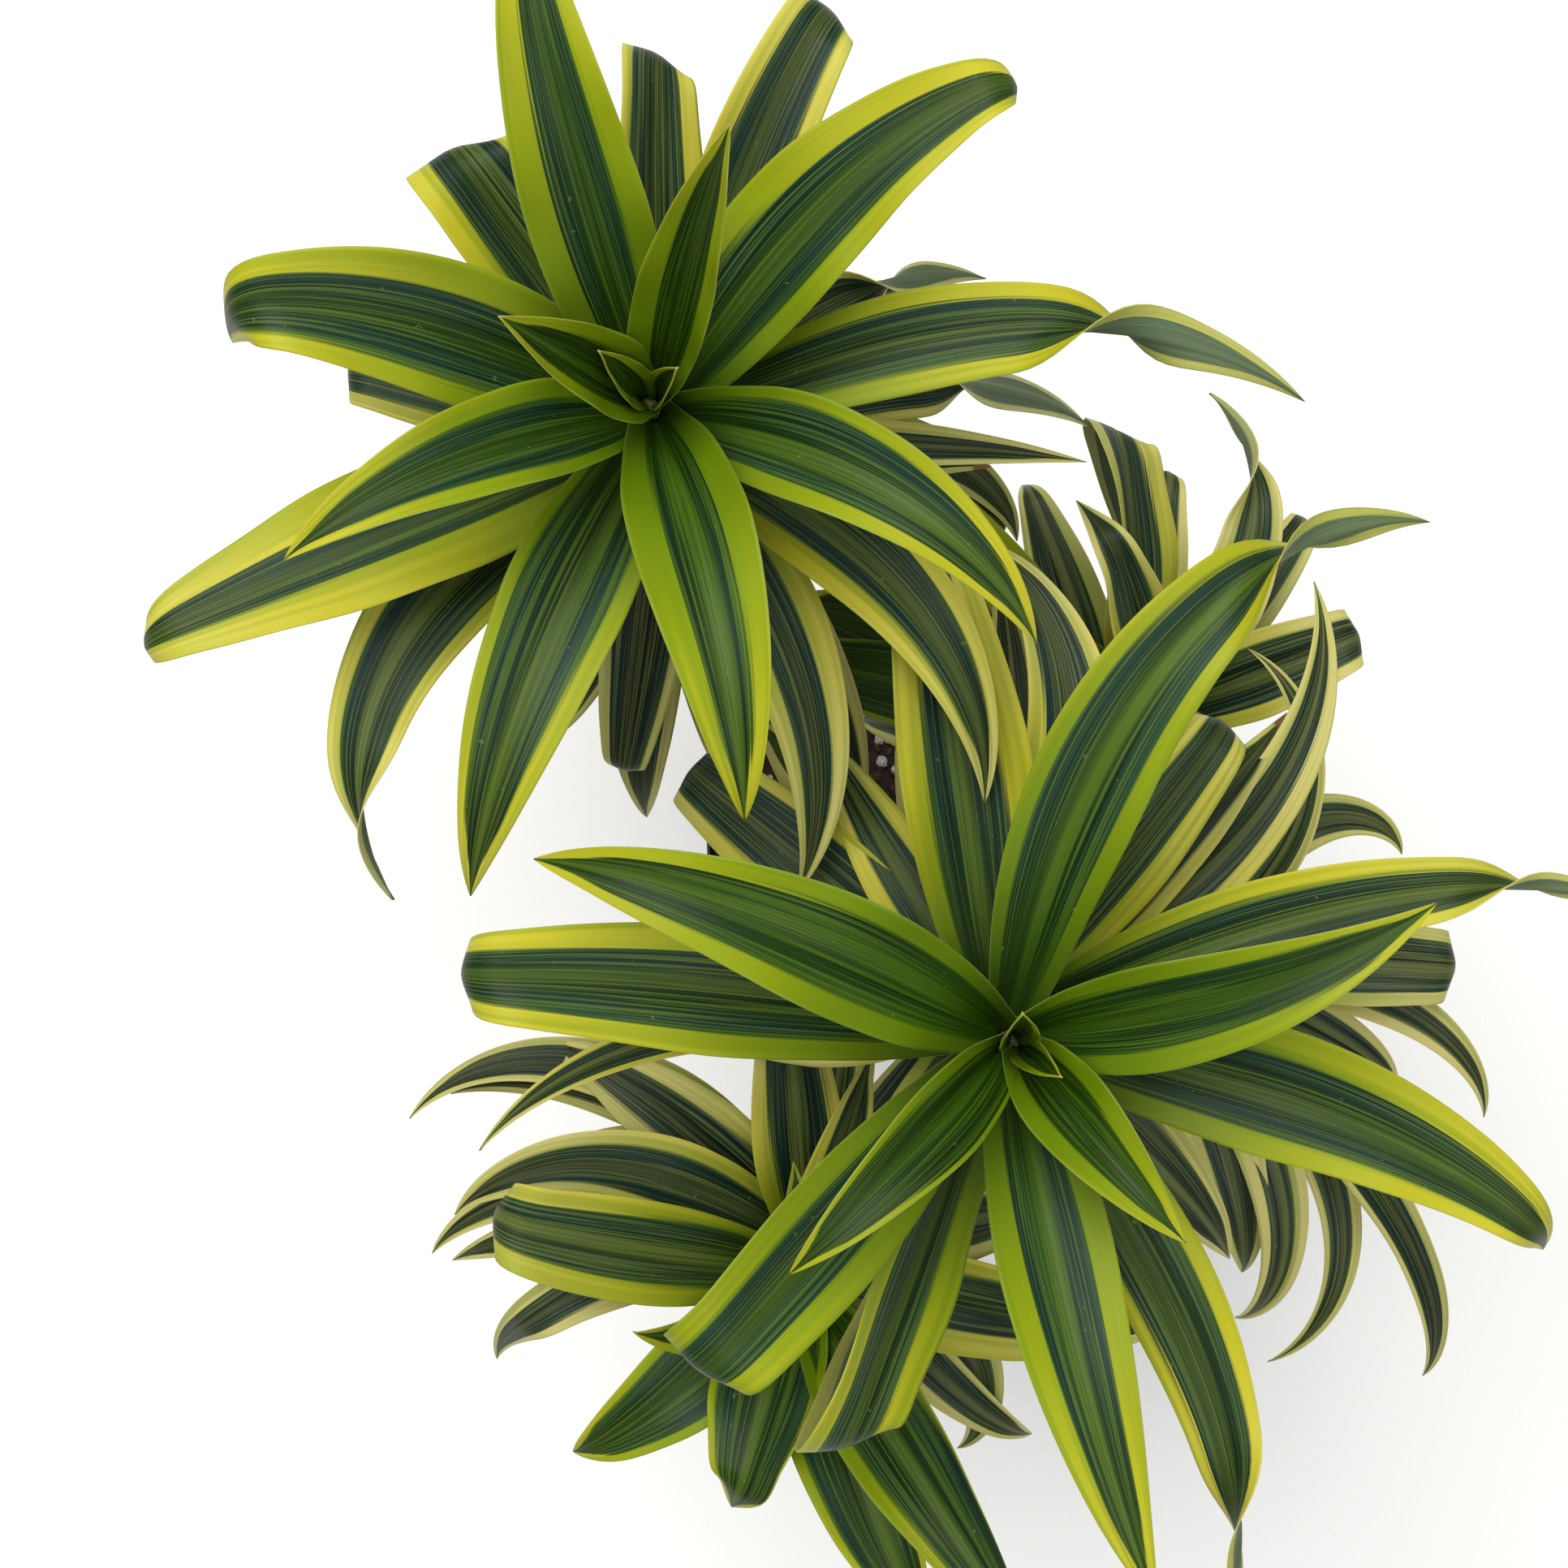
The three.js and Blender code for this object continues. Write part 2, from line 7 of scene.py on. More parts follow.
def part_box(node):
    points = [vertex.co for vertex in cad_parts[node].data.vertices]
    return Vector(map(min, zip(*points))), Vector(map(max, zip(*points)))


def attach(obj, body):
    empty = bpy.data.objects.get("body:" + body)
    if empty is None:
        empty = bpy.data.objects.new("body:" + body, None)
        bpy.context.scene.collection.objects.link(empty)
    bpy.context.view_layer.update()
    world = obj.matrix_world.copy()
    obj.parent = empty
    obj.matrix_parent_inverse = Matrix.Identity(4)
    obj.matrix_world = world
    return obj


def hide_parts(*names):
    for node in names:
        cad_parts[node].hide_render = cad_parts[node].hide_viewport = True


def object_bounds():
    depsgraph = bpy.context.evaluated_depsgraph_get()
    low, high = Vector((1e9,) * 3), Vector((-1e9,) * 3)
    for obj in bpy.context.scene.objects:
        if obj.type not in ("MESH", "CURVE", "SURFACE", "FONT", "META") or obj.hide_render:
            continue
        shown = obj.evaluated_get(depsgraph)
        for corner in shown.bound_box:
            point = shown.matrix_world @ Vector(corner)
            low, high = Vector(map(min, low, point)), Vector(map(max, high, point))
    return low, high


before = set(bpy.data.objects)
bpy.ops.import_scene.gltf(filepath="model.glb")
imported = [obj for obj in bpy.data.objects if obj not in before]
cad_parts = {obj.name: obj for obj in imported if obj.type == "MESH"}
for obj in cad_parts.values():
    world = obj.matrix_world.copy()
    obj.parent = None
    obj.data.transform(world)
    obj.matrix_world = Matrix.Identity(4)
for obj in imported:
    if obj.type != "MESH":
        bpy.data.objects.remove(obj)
cad_low, cad_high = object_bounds()

# Potted song of india, seen from straight above. The CAD nodes give every size:
# this script puts fine leaves, canes, soil and a pot in their places.

MM = 0.001

# The photograph's camera looks straight down. Its focal length is in pixels of
# the picture.
PICTURE_WIDTH = 1932
FOCAL_PIXELS = 2696
SENSOR_WIDTH = 36.0
CAMERA_PLACE = (-0.050, 0.027, 1.140)

# Blades. Steps run along a leaf and columns across it.
LEAF_STEPS = 56
LEAF_COLUMNS = 16
BLADE_THICKNESS = 1.1 * MM
EDGE_THICKNESS_SHARE = 0.28
GROOVE_DEPTH = 0.45
GROOVE_SHARE = 0.09
EDGE_WAVE_SHARE = 0.05

# How the part's source bends a blade, with lengths in millimetres, angles in
# degrees and shares of the blade's length.
LEAF_INSET = 2.5
FOOT_SHARE = 0.42
WIDEST_AT = 0.4
TAPER = 1.6
POINT_SHARE = 0.01
FLAT_CHANNEL = 14
UPRIGHT_CHANNEL = 42
FLAT_RISE = 25
UPRIGHT_SPAN = 50
TIP_CHANNEL_SHARE = 0.4
CLASP = 20
CLASP_SPAN = 0.2
FOLD_SPAN = 0.16
TWIST_SPAN = 0.3
FOLD_ARCH = 30
TWIST_CHANNEL = 24
GOLDEN_ANGLE = 137.5
OLDER_WIDTH = 23
OLDER_RISE = -8
OLDER_DROOP = 45
VARIATION = dict(length=25, width=5, rise=24, droop=20, sway=50, roll=24)

# Each head as in the part's source, in millimetres and degrees: the tip of its
# stem, the way the stem points, the length of its leafy stem, the age of its
# youngest leaf and the distance down the stem over which a leaf grows old, and
# its leaves. A leaf is a row of
#   distance of its foot under the tip, heading, length, width, rise at the foot,
#   droop, sway, roll, twist, crease, and where the twist or crease sits
HEADS = {
    "a": dict(tip=(-88, 135, 520), axis=(0, 0, 1), stem=122, age=(0.0, 85), leaves=[
        (2, 150, 46, 14, 80, 6, 0, 0, 0, 0, 0.8),
        (3, 20, 38, 12, 80, 2, 0, 0, 0, 0, 0.8),
        (4, 166, 80, 28, 71, 15, -6, 0, 0, 0, 0.8),
        (8, 66, 115, 26, 63, 3, -7, 0, 0, 0, 0.8),
        (14, 289, 142, 37, 48, 100, -18, 0, 0, 0, 0.8),
        (16, 109, 158, 36, 46, 60, -16, 0, 0, 0, 0.8),
        (18, 201, 127, 31, 51, 75, 16, 0, 0, 0, 0.8),
        (22, 342, 147, 32, 42, 85, -44, 0, 0, 0, 0.8),
        (26, 51, 163, 38, 30, 25, -46, 0, 0, 110, 0.86),
        (28, 159, 162, 40, 35, 40, 50, -8, 0, 80, 0.76),
        (32, 246, 162, 37, 30, 80, 10, 0, 0, 0, 0.8),
        (38, 17, 198, 30, 20, 40, -50, 0, -170, 0, 0.69),
        (42, 205, 188, 43, 22, 30, 0, 10, 0, 90, 0.86),
        (50, 127, 178, 38, 22, 10, 0, 15, 0, 130, 0.56),
        (54, 331, 165, 32, 26, 62, -64, 0, 0, 0, 0.8),
        (58, 213, 186, 34, 20, 50, 88, 0, 120, 0, 0.84),
        (60, 90, 170, 30, 16, 20, 0, 30, 0, 130, 0.66),
        (62, 72, 206, 30, 16, 20, -34, 10, 0, 130, 0.66),
        (64, 167, 145, 32, 13, 20, 5, 0, 0, 110, 0.66),
        (66, 305, 158, 30, 13, 50, -60, 0, 0, 0, 0.8),
        (68, 41, 120, 22, 17, 60, -46, 0, 170, 0, 0.68),
        (72, 359, 132, 16, 10, 25, -6, 0, 0, 0, 0.8),
        (76, 17, 149, 24, 8, 60, -44, 0, 160, 0, 0.62),
        (78, 8, 152, 20, -7, 66, -76, 0, 0, 0, 0.8),
        (80, 40, 100, 24, 5, 10, -28, 0, 0, 0, 0.8),
        (82, 263, 131, 28, -2, 40, -6, 0, 0, 80, 0.8),
        (84, 357, 104, 20, 8, 30, 0, 0, 0, 0, 0.8),
        (86, 309, 154, 22, -4, 50, -42, 0, 0, 0, 0.8),
        (88, 356, 150, 28, -8, 60, -30, 0, 0, 60, 0.85),
        (90, 262, 150, 28, -15, 60, 10, 0, 0, 0, 0.8),
        (94, 283, 150, 28, -20, 55, -10, 0, 0, 0, 0.8),
    ], older=dict(count=6, below=98, spacing=3.5, heading=110, length=115)),
    "b": dict(tip=(15, -46, 520), axis=(0, 0, 1), stem=122, age=(0.0, 85), leaves=[
        (2, 100, 48, 15, 80, 6, 0, 0, 0, 0, 0.8),
        (3, 330, 40, 12, 80, 2, 0, 0, 0, 0, 0.8),
        (4, 309, 80, 27, 56, 60, 4, 0, 0, 0, 0.8),
        (6, 219, 104, 25, 55, 88, 9, 0, 0, 0, 0.8),
        (10, 150, 163, 36, 42, 92, 26, 0, 0, 0, 0.8),
        (12, 14.5, 132, 32, 46, 56, 20, 0, 0, 0, 0.8),
        (18, 279, 166, 34, 33, 55, 14, 0, 0, 0, 0.8),
        (22, 79, 213, 34, 29, 60, -84, 0, -170, 0, 0.78),
        (24, 225, 219, 35, 26, 20, 0, -10, 0, 150, 0.6),
        (28, 351, 190, 38, 18, 34, -46, 0, 0, 50, 0.84),
        (34, 248, 221, 34, 18, 15, 0, -38, 0, 128, 0.575),
        (36, 169.5, 217, 38, 20, 20, 20, 0, 0, 110, 0.73),
        (40, 305, 197, 30, 18, 50, -45, 0, 150, 0, 0.8),
        (44, 25, 192, 28, 18, 30, -40, 0, -170, 0, 0.81),
        (52, 97, 184, 41, 9, 30, 10, 0, 0, 90, 0.82),
        (56, 177, 176, 16, 8, 40, 58, 30, 0, 0, 0.8),
        (58, 123, 114, 26, -9, 50, -10, 0, 0, 0, 0.8),
        (60, 52, 160, 28, 12, 10, 6, 0, 0, 110, 0.7),
        (62, 68, 167, 32, 10, 50, 78, 0, 0, 0, 0.8),
        (64, 141, 178, 34, -10, 30, 0, 0, 0, 120, 0.72),
        (66, 44, 137, 24, 12, 50, 4, 0, 0, 0, 0.8),
        (70, 128, 136, 26, -14, 35, 0, 0, 0, 0, 0.8),
        (72, 31, 188, 24, 8, 40, 70, 0, 0, 0, 0.8),
        (76, 82, 150, 26, 0, 40, 20, 0, 0, 0, 0.8),
        (80, 320, 136, 29, -5, 50, -20, 0, 0, 0, 0.8),
    ], older=dict(count=8, below=84, spacing=4, heading=190, length=90)),
    "c": dict(tip=(92, 58, 335), axis=(0.45, 0.35, 0.82), stem=88, age=(0.55, 60), leaves=[
        (2, 60, 50, 14, 66, 4, 0, 0, 0, 0, 0.8),
        (6, 300, 70, 24, 50, 40, 0, 0, 0, 0, 0.8),
        (8, 220, 80, 24, 60, 20, 0, 0, 0, 0, 0.8),
        (10, 163, 150, 44, 4, 34, 0, 0, 0, 0, 0.8),
        (12, 114, 125, 28, 62, 30, 10, 0, 0, 80, 0.8),
        (16, 101, 188, 32, 45, 40, 8, 40, 0, 150, 0.64),
        (20, 22, 118, 33, 36, 50, 0, 0, 0, 100, 0.72),
        (24, 89, 112, 30, 29, 50, -21, 0, 0, 80, 0.84),
        (30, 50, 146, 28, 36, 60, 85, 0, 120, 0, 0.77),
        (34, 168, 162, 34, 18, 30, 0, 0, 0, 0, 0.8),
        (36, 45, 133, 26, 21, 60, 20, 0, 0, 60, 0.8),
        (40, 109, 116, 28, 24, 50, 0, 0, 0, 60, 0.85),
        (44, 129, 172, 30, 52, 10, 4, 0, 0, 0, 0.8),
        (46, 205, 150, 26, 0, 40, 0, 0, 0, 0, 0.8),
    ], older=dict(count=5, below=52, spacing=5, heading=330, length=85)),
    "d": dict(tip=(110, -46, 345), axis=(0.5, -0.2, 0.81), stem=88, age=(0.55, 60), leaves=[
        (2, 20, 50, 14, 66, 4, 0, 0, 0, 0, 0.8),
        (6, 150, 62, 20, 62, 10, 0, 0, 0, 0, 0.8),
        (26, 66, 121, 24, 25, 70, -134, 0, 0, 0, 0.8),
        (28, 48, 148, 16, 42, 60, 100, 0, 0, 0, 0.8),
        (30, 2, 165, 32, 14, 11, -20, 0, 0, 100, 0.6),
        (34, 317, 215, 22, 19, 80, -50, 40, 0, 0, 0.8),
        (36, 356, 158, 20, 13, 60, -75, 0, 0, 0, 0.8),
        (40, 291, 145, 30, 14, 81, -13, 0, 0, 0, 0.8),
        (44, 339, 131, 24, 10, 80, -26, 0, 0, 0, 0.8),
        (46, 306, 186, 24, 15, 90, -76, 0, 0, 0, 0.8),
        (50, 320, 206, 20, 9, 50, -106, 0, 0, 0, 0.8),
    ], older=dict(count=6, below=56, spacing=4.5, heading=55, length=80)),
    "e": dict(tip=(-46, -159, 365), axis=(-0.15, -0.45, 0.87), stem=92, age=(0.3, 60), leaves=[
        (2, 120, 50, 14, 68, 4, 0, 0, 0, 0, 0.8),
        (6, 89, 99, 18, 58, 15, 8, 0, 0, 0, 0.8),
        (10, 190, 88, 22, 54, 3, -40, 0, 0, 0, 0.8),
        (14, 306, 150, 38, 44, 50, 0, 0, 0, 0, 0.8),
        (18, 250, 96, 42, 38, 40, 6, 20, 0, 60, 0.78),
        (20, 75, 100, 24, 40, 40, 0, 0, 0, 0, 0.8),
        (22, 168, 172, 38, 27, 20, -14, 0, 0, 110, 0.66),
        (24, 284, 140, 42, 34, 50, 20, 0, 0, 0, 0.8),
        (26, 350, 140, 36, 30, 60, 10, 0, 0, 0, 0.8),
        (28, 221, 121, 38, 38, 100, -8, 0, 0, 0, 0.8),
        (30, 94, 134, 34, 33, 44, 4, 0, 0, 0, 0.8),
        (34, 144, 148, 30, 26, 40, 90, 0, 0, 20, 0.85),
        (36, 62, 110, 26, 25, 50, -10, 0, 0, 0, 0.8),
        (38, 12, 110, 32, 26, 60, 0, 0, 0, 0, 0.8),
        (40, 184, 158, 24, 12, 10, 75, 0, 0, 60, 0.66),
        (42, 135, 128, 34, 19, 60, 30, 0, 0, 0, 0.8),
        (44, 310, 130, 22, 13, 80, 20, 0, 0, 0, 0.8),
        (46, 176, 150, 22, 8, 60, 40, 0, 0, 0, 0.8),
        (48, 332, 129, 24, 8, 60, -110, 0, 0, 0, 0.8),
        (50, 134, 176, 24, 10, 20, 100, 20, 0, 0, 0.8),
        (52, 165, 165, 20, 12, 60, 75, 0, 0, 0, 0.8),
        (54, 151, 145, 20, 5, 60, 129, 0, 0, 0, 0.8),
        (56, 143, 150, 22, 10, 24, 60, 20, 0, 0, 0.8),
    ], older=dict(count=6, below=60, spacing=4.5, heading=250, length=95)),
}

# Leaves that the photograph shows as unlike their neighbours, by head and
# distance under the tip. margin is the share of each half that is pale, stripe
# the strength of the light stripe along the midrib, and dry the share of the
# length that has dried brown at the tip.
LEAF_TRAITS = {
    ("a", 8): dict(margin=0.42, stripe=0.25),
    ("a", 14): dict(margin=0.42, stripe=0.9),
    ("a", 16): dict(margin=0.46, stripe=0.15),
    ("a", 22): dict(margin=0.36, stripe=0.8),
    ("a", 32): dict(margin=0.32, stripe=0.7),
    ("a", 42): dict(margin=0.5, stripe=0.3),
    ("a", 84): dict(margin=0.4, dry=0.06),
    ("c", 10): dict(age=0.3, margin=0.14, stripe=0.2),
    ("c", 34): dict(age=0.1, margin=0.1, stripe=0.2),
    ("b", 6): dict(margin=0.2, stripe=0.3),
    ("b", 12): dict(margin=0.25, stripe=0.4),
    ("b", 22): dict(margin=0.34, stripe=0.9),
    ("b", 36): dict(margin=0.4, stripe=0.5),
    ("b", 66): dict(margin=0.3, dry=0.05),
    ("c", 44): dict(age=0.1, margin=0.46),
    ("e", 6): dict(age=0.05),
    ("e", 10): dict(age=0.05),
    ("e", 14): dict(age=0.2, margin=0.16),
    ("e", 18): dict(age=0.2, margin=0.16),
    ("e", 24): dict(age=0.2, margin=0.14),
    ("e", 28): dict(age=0.2, margin=0.2),
}

# Where each cane stands in the soil, its fork if it has one, and its heads.
CANES = {
    "cane_a": dict(root=(-26, 24), fork=None, heads="a"),
    "cane_b": dict(root=(2, -14), fork=None, heads="b"),
    "cane_cd": dict(root=(34, 6), fork=(40, 5, 205), heads="cd"),
    "cane_e": dict(root=(-20, -34), fork=None, heads="e"),
}

# Canes and leafy stems, in millimetres. A cane is upright from its foot up to
# where it starts to lean.
CANE_FOOT = 45
CANE_STRAIGHT_TO = 142
CANE_FOOT_RADIUS = 7.6
CANE_TOP_RADIUS = 5.3
CANE_SIDES = 20
CANE_STEP = 1.5
SCAR_SPACING = 8.0
SCAR_HEIGHT = 0.35
STEM_FOOT_RADIUS = 5.3
STEM_TOP_RADIUS = 2.0
STEM_SIDES = 16
STEM_STEP = 1.0
STEM_SCAR_SPACING = 4.0
STEM_SCAR_HEIGHT = 0.3
KNOB_HEIGHT = 0.45
KNOB_SCALE = 0.11


# Small helpers

def ease(x):
    """0 up to a step, 1 after it, and a smooth rise between."""
    t = min(1.0, max(0.0, x))
    return t * t * (3 - 2 * t)


def draw(leaf, trait):
    """A repeatable number from 0 to 1 for a leaf and one of its traits."""
    wave = math.sin(leaf * 12.9898 + trait * 78.233) * 43758.5453
    return wave - math.floor(wave)


def colour(red, green, blue):
    """A shader colour from screen values of 0 to 255."""
    def linear(value):
        share = value / 255
        return share / 12.92 if share < 0.04045 else ((share + 0.055) / 1.055) ** 2.4
    return (linear(red), linear(green), linear(blue), 1.0)


def finished(name, bm, materials, replaces):
    """Makes an object from a bmesh and puts it in a CAD node's place."""
    mesh = bpy.data.meshes.new(name)
    for face in bm.faces:
        face.smooth = True
    bm.to_mesh(mesh)
    bm.free()
    piece = bpy.data.objects.new(name, mesh)
    bpy.context.scene.collection.objects.link(piece)
    for material in materials:
        mesh.materials.append(material)
    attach(piece, "root")
    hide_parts(*replaces)
    return piece


# Shader nodes, one short call each

class Shader:
    """Adds nodes to a tree. Each call returns the new node's output."""

    def __init__(self, tree):
        self.tree = tree

    def put(self, target, value):
        if isinstance(value, bpy.types.NodeSocket):
            self.tree.links.new(value, target)
        else:
            target.default_value = value

    def node(self, kind, inputs=(), **settings):
        node = self.tree.nodes.new(kind)
        for name, value in settings.items():
            setattr(node, name, value)
        for key, value in dict(inputs).items():
            self.put(node.inputs[key], value)
        return node

    def math(self, operation, first, second=0.0, third=0.0, clamp=False):
        inputs = {0: first, 1: second, 2: third}
        return self.node("ShaderNodeMath", inputs, operation=operation, use_clamp=clamp).outputs[0]

    def step(self, value, start, end, low=0.0, high=1.0):
        """low before start, high after end, and a smooth change between."""
        inputs = {"Value": value, "From Min": start, "From Max": end, "To Min": low, "To Max": high}
        node = self.node("ShaderNodeMapRange", inputs, interpolation_type="SMOOTHSTEP")
        return node.outputs["Result"]

    def mix(self, share, first, second):
        node = self.node("ShaderNodeMix", data_type="RGBA")
        self.put(node.inputs["Factor"], share)
        self.put(node.inputs[6], first)
        self.put(node.inputs[7], second)
        return node.outputs[2]

    def ramp(self, value, stops):
        node = self.node("ShaderNodeValToRGB", {"Fac": value})
        elements = node.color_ramp.elements
        while len(elements) < len(stops):
            elements.new(0.5)
        for element, (place, tint) in zip(elements, stops):
            element.position = place
            element.color = tint
        return node.outputs["Color"]

    def vector(self, x, y, z):
        return self.node("ShaderNodeCombineXYZ", {0: x, 1: y, 2: z}).outputs[0]

    def noise(self, place, scale=1.0, detail=2.0, roughness=0.5):
        inputs = {"Vector": place, "Scale": scale, "Detail": detail, "Roughness": roughness}
        return self.node("ShaderNodeTexNoise", inputs).outputs["Fac"]

    def attribute(self, name):
        return self.node("ShaderNodeAttribute", attribute_name=name).outputs["Fac"]

    def place(self):
        return self.node("ShaderNodeTexCoord").outputs["Object"]

    def bump(self, height, distance, strength=1.0):
        inputs = {"Height": height, "Distance": distance, "Strength": strength}
        return self.node("ShaderNodeBump", inputs).outputs["Normal"]


def new_material(name):
    material = bpy.data.materials.new(name)
    material.use_nodes = True
    shader = Shader(material.node_tree)
    return material, shader, material.node_tree.nodes["Principled BSDF"]


def new_group(name, inputs, outputs):
    """A shader node group with named sockets, and the calls to fill it."""
    tree = bpy.data.node_groups.new(name, "ShaderNodeTree")
    for socket in inputs:
        tree.interface.new_socket(socket, in_out="INPUT", socket_type="NodeSocketFloat")
    for socket, kind in outputs.items():
        tree.interface.new_socket(socket, in_out="OUTPUT", socket_type=kind)
    given = tree.nodes.new("NodeGroupInput").outputs
    asked = tree.nodes.new("NodeGroupOutput").inputs
    return tree, Shader(tree), given, asked


# Leaf finish

LEAF_MARKS = ("share", "across", "age", "seed", "margin", "stripe", "dry")


def variegation():
    """The leaf's markings: pale margins, a dark middle with fine lines along the
    leaf, a light stripe by the midrib and a dried tip; also painted light: a
    bluish sheen at mid-leaf and shade at the foot."""
    outputs = {"Color": "NodeSocketColor", "Roughness": "NodeSocketFloat", "Height": "NodeSocketFloat"}
    tree, make, given, asked = new_group("leaf variegation", LEAF_MARKS, outputs)
    share, across, age, seed = (given[name] for name in LEAF_MARKS[:4])
    offset = make.math("MULTIPLY", seed, 57.0)
    from_midrib = make.math("ABSOLUTE", across)

    def streaks(across_scale, along_scale, detail):
        place = make.vector(
            make.math("MULTIPLY", across, across_scale),
            make.math("MULTIPLY", share, along_scale),
            offset,
        )
        return make.noise(place, detail=detail, roughness=0.6)

    # Noise stretched along the leaf, from wide bands to single hairs
    slow = streaks(1.3, 1.1, 0.0)
    broad = streaks(5.0, 1.0, 1.0)
    fine = streaks(17.0, 1.3, 2.0)
    hair = streaks(36.0, 1.6, 1.0)

    # Margin, wider near the tip, with a streaky inner border, a green band inside
    # it, and a painted sheen: a bluish reflection painted in at mid-leaf
    border = make.math("SUBTRACT", 1.0, given["margin"])
    border = make.math("MULTIPLY_ADD", make.math("SUBTRACT", slow, 0.5), 0.5, border)
    border = make.math("MULTIPLY", border, make.step(share, 0.8, 1.0, 1.0, 0.45))
    ragged = make.math("MULTIPLY_ADD", make.math("SUBTRACT", fine, 0.5), 0.24, from_midrib)
    inside = make.math("SUBTRACT", ragged, border)
    margin = make.step(inside, -0.05, 0.04)
    band = make.math("MULTIPLY", make.step(inside, -0.18, 0.0), make.step(broad, 0.4, 0.6))
    along = make.math("MULTIPLY", make.step(share, 0.12, 0.4), make.step(share, 0.6, 0.9, 1.0, 0.0))
    painted_sheen = make.math("MULTIPLY", make.step(inside, -0.6, -0.15), along)
    painted_sheen = make.math("MULTIPLY", painted_sheen, make.step(age, 0.08, 0.24))

    # Colours by age, which also grows from the foot to the tip of a leaf
    past_half = make.math("SUBTRACT", share, 0.5)
    grown = make.math("MULTIPLY_ADD", past_half, 0.4, age, clamp=True)
    ripe = make.math("MULTIPLY_ADD", past_half, 0.8, age, clamp=True)
    pale = make.ramp(ripe, [
        (0.0, colour(94, 116, 4)),
        (0.25, colour(130, 142, 12)),
        (0.55, colour(176, 170, 38)),
        (0.8, colour(188, 180, 74)),
        (1.0, colour(192, 184, 112)),
    ])
    pale = make.mix(make.step(broad, 0.38, 0.68, 0.0, 0.45), pale, colour(92, 122, 8))
    pale = make.mix(make.step(share, 0.05, 0.5, 0.7, 0.0), pale, colour(76, 102, 6))
    # The darker stops for old, low leaves are partly their own colour and partly painted shade
    dark = make.ramp(grown, [
        (0.0, colour(26, 52, 2)),
        (0.4, colour(22, 44, 10)),
        (0.8, colour(14, 32, 16)),
        (1.0, colour(16, 28, 18)),
    ])
    green = make.ramp(grown, [
        (0.0, colour(58, 90, 6)),
        (0.5, colour(62, 90, 16)),
        (1.0, colour(72, 92, 34)),
    ])
    light = make.ramp(grown, [
        (0.0, colour(64, 94, 12)),
        (0.5, colour(84, 104, 34)),
        (1.0, colour(102, 110, 62)),
    ])

    # Middle of the leaf: dark, with a painted bluish sheen, lighter lines, dark hairs and the stripe
    lines = make.step(fine, 0.51, 0.6, 0.0, 0.58)
    # Painted sheen: a bluish reflection mixed into the dark middle at mid-leaf on older leaves
    middle = make.mix(make.math("MULTIPLY", painted_sheen, 0.6), dark, colour(16, 52, 50))
    middle = make.mix(lines, middle, light)
    middle = make.mix(make.step(hair, 0.37, 0.43, 0.5, 0.0), middle, light)
    middle = make.mix(make.step(hair, 0.54, 0.62, 0.0, 0.7), middle, colour(8, 20, 6))
    aside = make.math("MULTIPLY_ADD", make.math("SUBTRACT", slow, 0.5), 0.5, across)
    beside = make.step(make.math("ABSOLUTE", aside), 0.06, 0.2, 1.0, 0.0)
    stripe = make.math("MULTIPLY", beside, make.step(hair, 0.36, 0.54, 0.1, 0.9))
    stripe = make.math("MULTIPLY", stripe, given["stripe"])
    middle = make.mix(stripe, middle, light)
    middle = make.mix(make.math("MULTIPLY", band, 0.6), middle, green)

    leaf = make.mix(margin, middle, pale)
    # Painted shade: the blade darkened towards its foot, deep in the rosette where shade falls
    leaf = make.mix(make.step(share, 0.0, 0.26, 0.8, 0.0), leaf, colour(24, 50, 1))

    # Dried tip, and a few pale flecks all over
    rough_share = make.math("MULTIPLY_ADD", make.math("SUBTRACT", broad, 0.5), 0.03, share)
    left = make.math("ADD", rough_share, given["dry"])
    dried = make.step(left, 0.99, 1.005)
    leaf = make.mix(dried, leaf, colour(124, 92, 60))
    fleck = make.step(make.noise(make.place(), scale=420.0, detail=1.0), 0.77, 0.8, 0.0, 0.25)
    leaf = make.mix(fleck, leaf, colour(140, 136, 80))

    make.put(asked["Color"], leaf)
    rough = make.math("MULTIPLY_ADD", make.math("SUBTRACT", fine, 0.5), 0.2, 0.44)
    make.put(asked["Roughness"], make.math("MAXIMUM", rough, make.math("MULTIPLY", dried, 0.8)))
    ribs = make.math("MULTIPLY_ADD", hair, 0.5, fine)
    make.put(asked["Height"], ribs)
    return tree


def marked(shader, group):
    """The variegation group, fed by the leaf's own marks."""
    node = shader.node("ShaderNodeGroup", node_tree=group)
    for name in LEAF_MARKS:
        shader.put(node.inputs[name], shader.attribute(name))
    return node.outputs


def leaf_upper(group):
    material, shader, surface = new_material("leaf upper side")
    marks = marked(shader, group)
    shader.put(surface.inputs["Base Color"], marks["Color"])
    shader.put(surface.inputs["Roughness"], marks["Roughness"])
    shader.put(surface.inputs["Normal"], shader.bump(marks["Height"], 0.12 * MM, 0.5))
    surface.inputs["Specular IOR Level"].default_value = 0.14
    return material


def leaf_under(group):
    material, shader, surface = new_material("leaf under side")
    marks = marked(shader, group)
    tint = shader.mix(0.35, marks["Color"], colour(108, 128, 96))
    shader.put(surface.inputs["Base Color"], tint)
    shader.put(surface.inputs["Roughness"], shader.math("ADD", marks["Roughness"], 0.22))
    shader.put(surface.inputs["Normal"], shader.bump(marks["Height"], 0.2 * MM, 0.6))
    return material


def leaf_rim(group):
    material, shader, surface = new_material("leaf edge")
    marks = marked(shader, group)
    shader.put(surface.inputs["Base Color"], shader.mix(0.3, marks["Color"], colour(190, 188, 110)))
    surface.inputs["Roughness"].default_value = 0.5
    return material


# Leaves

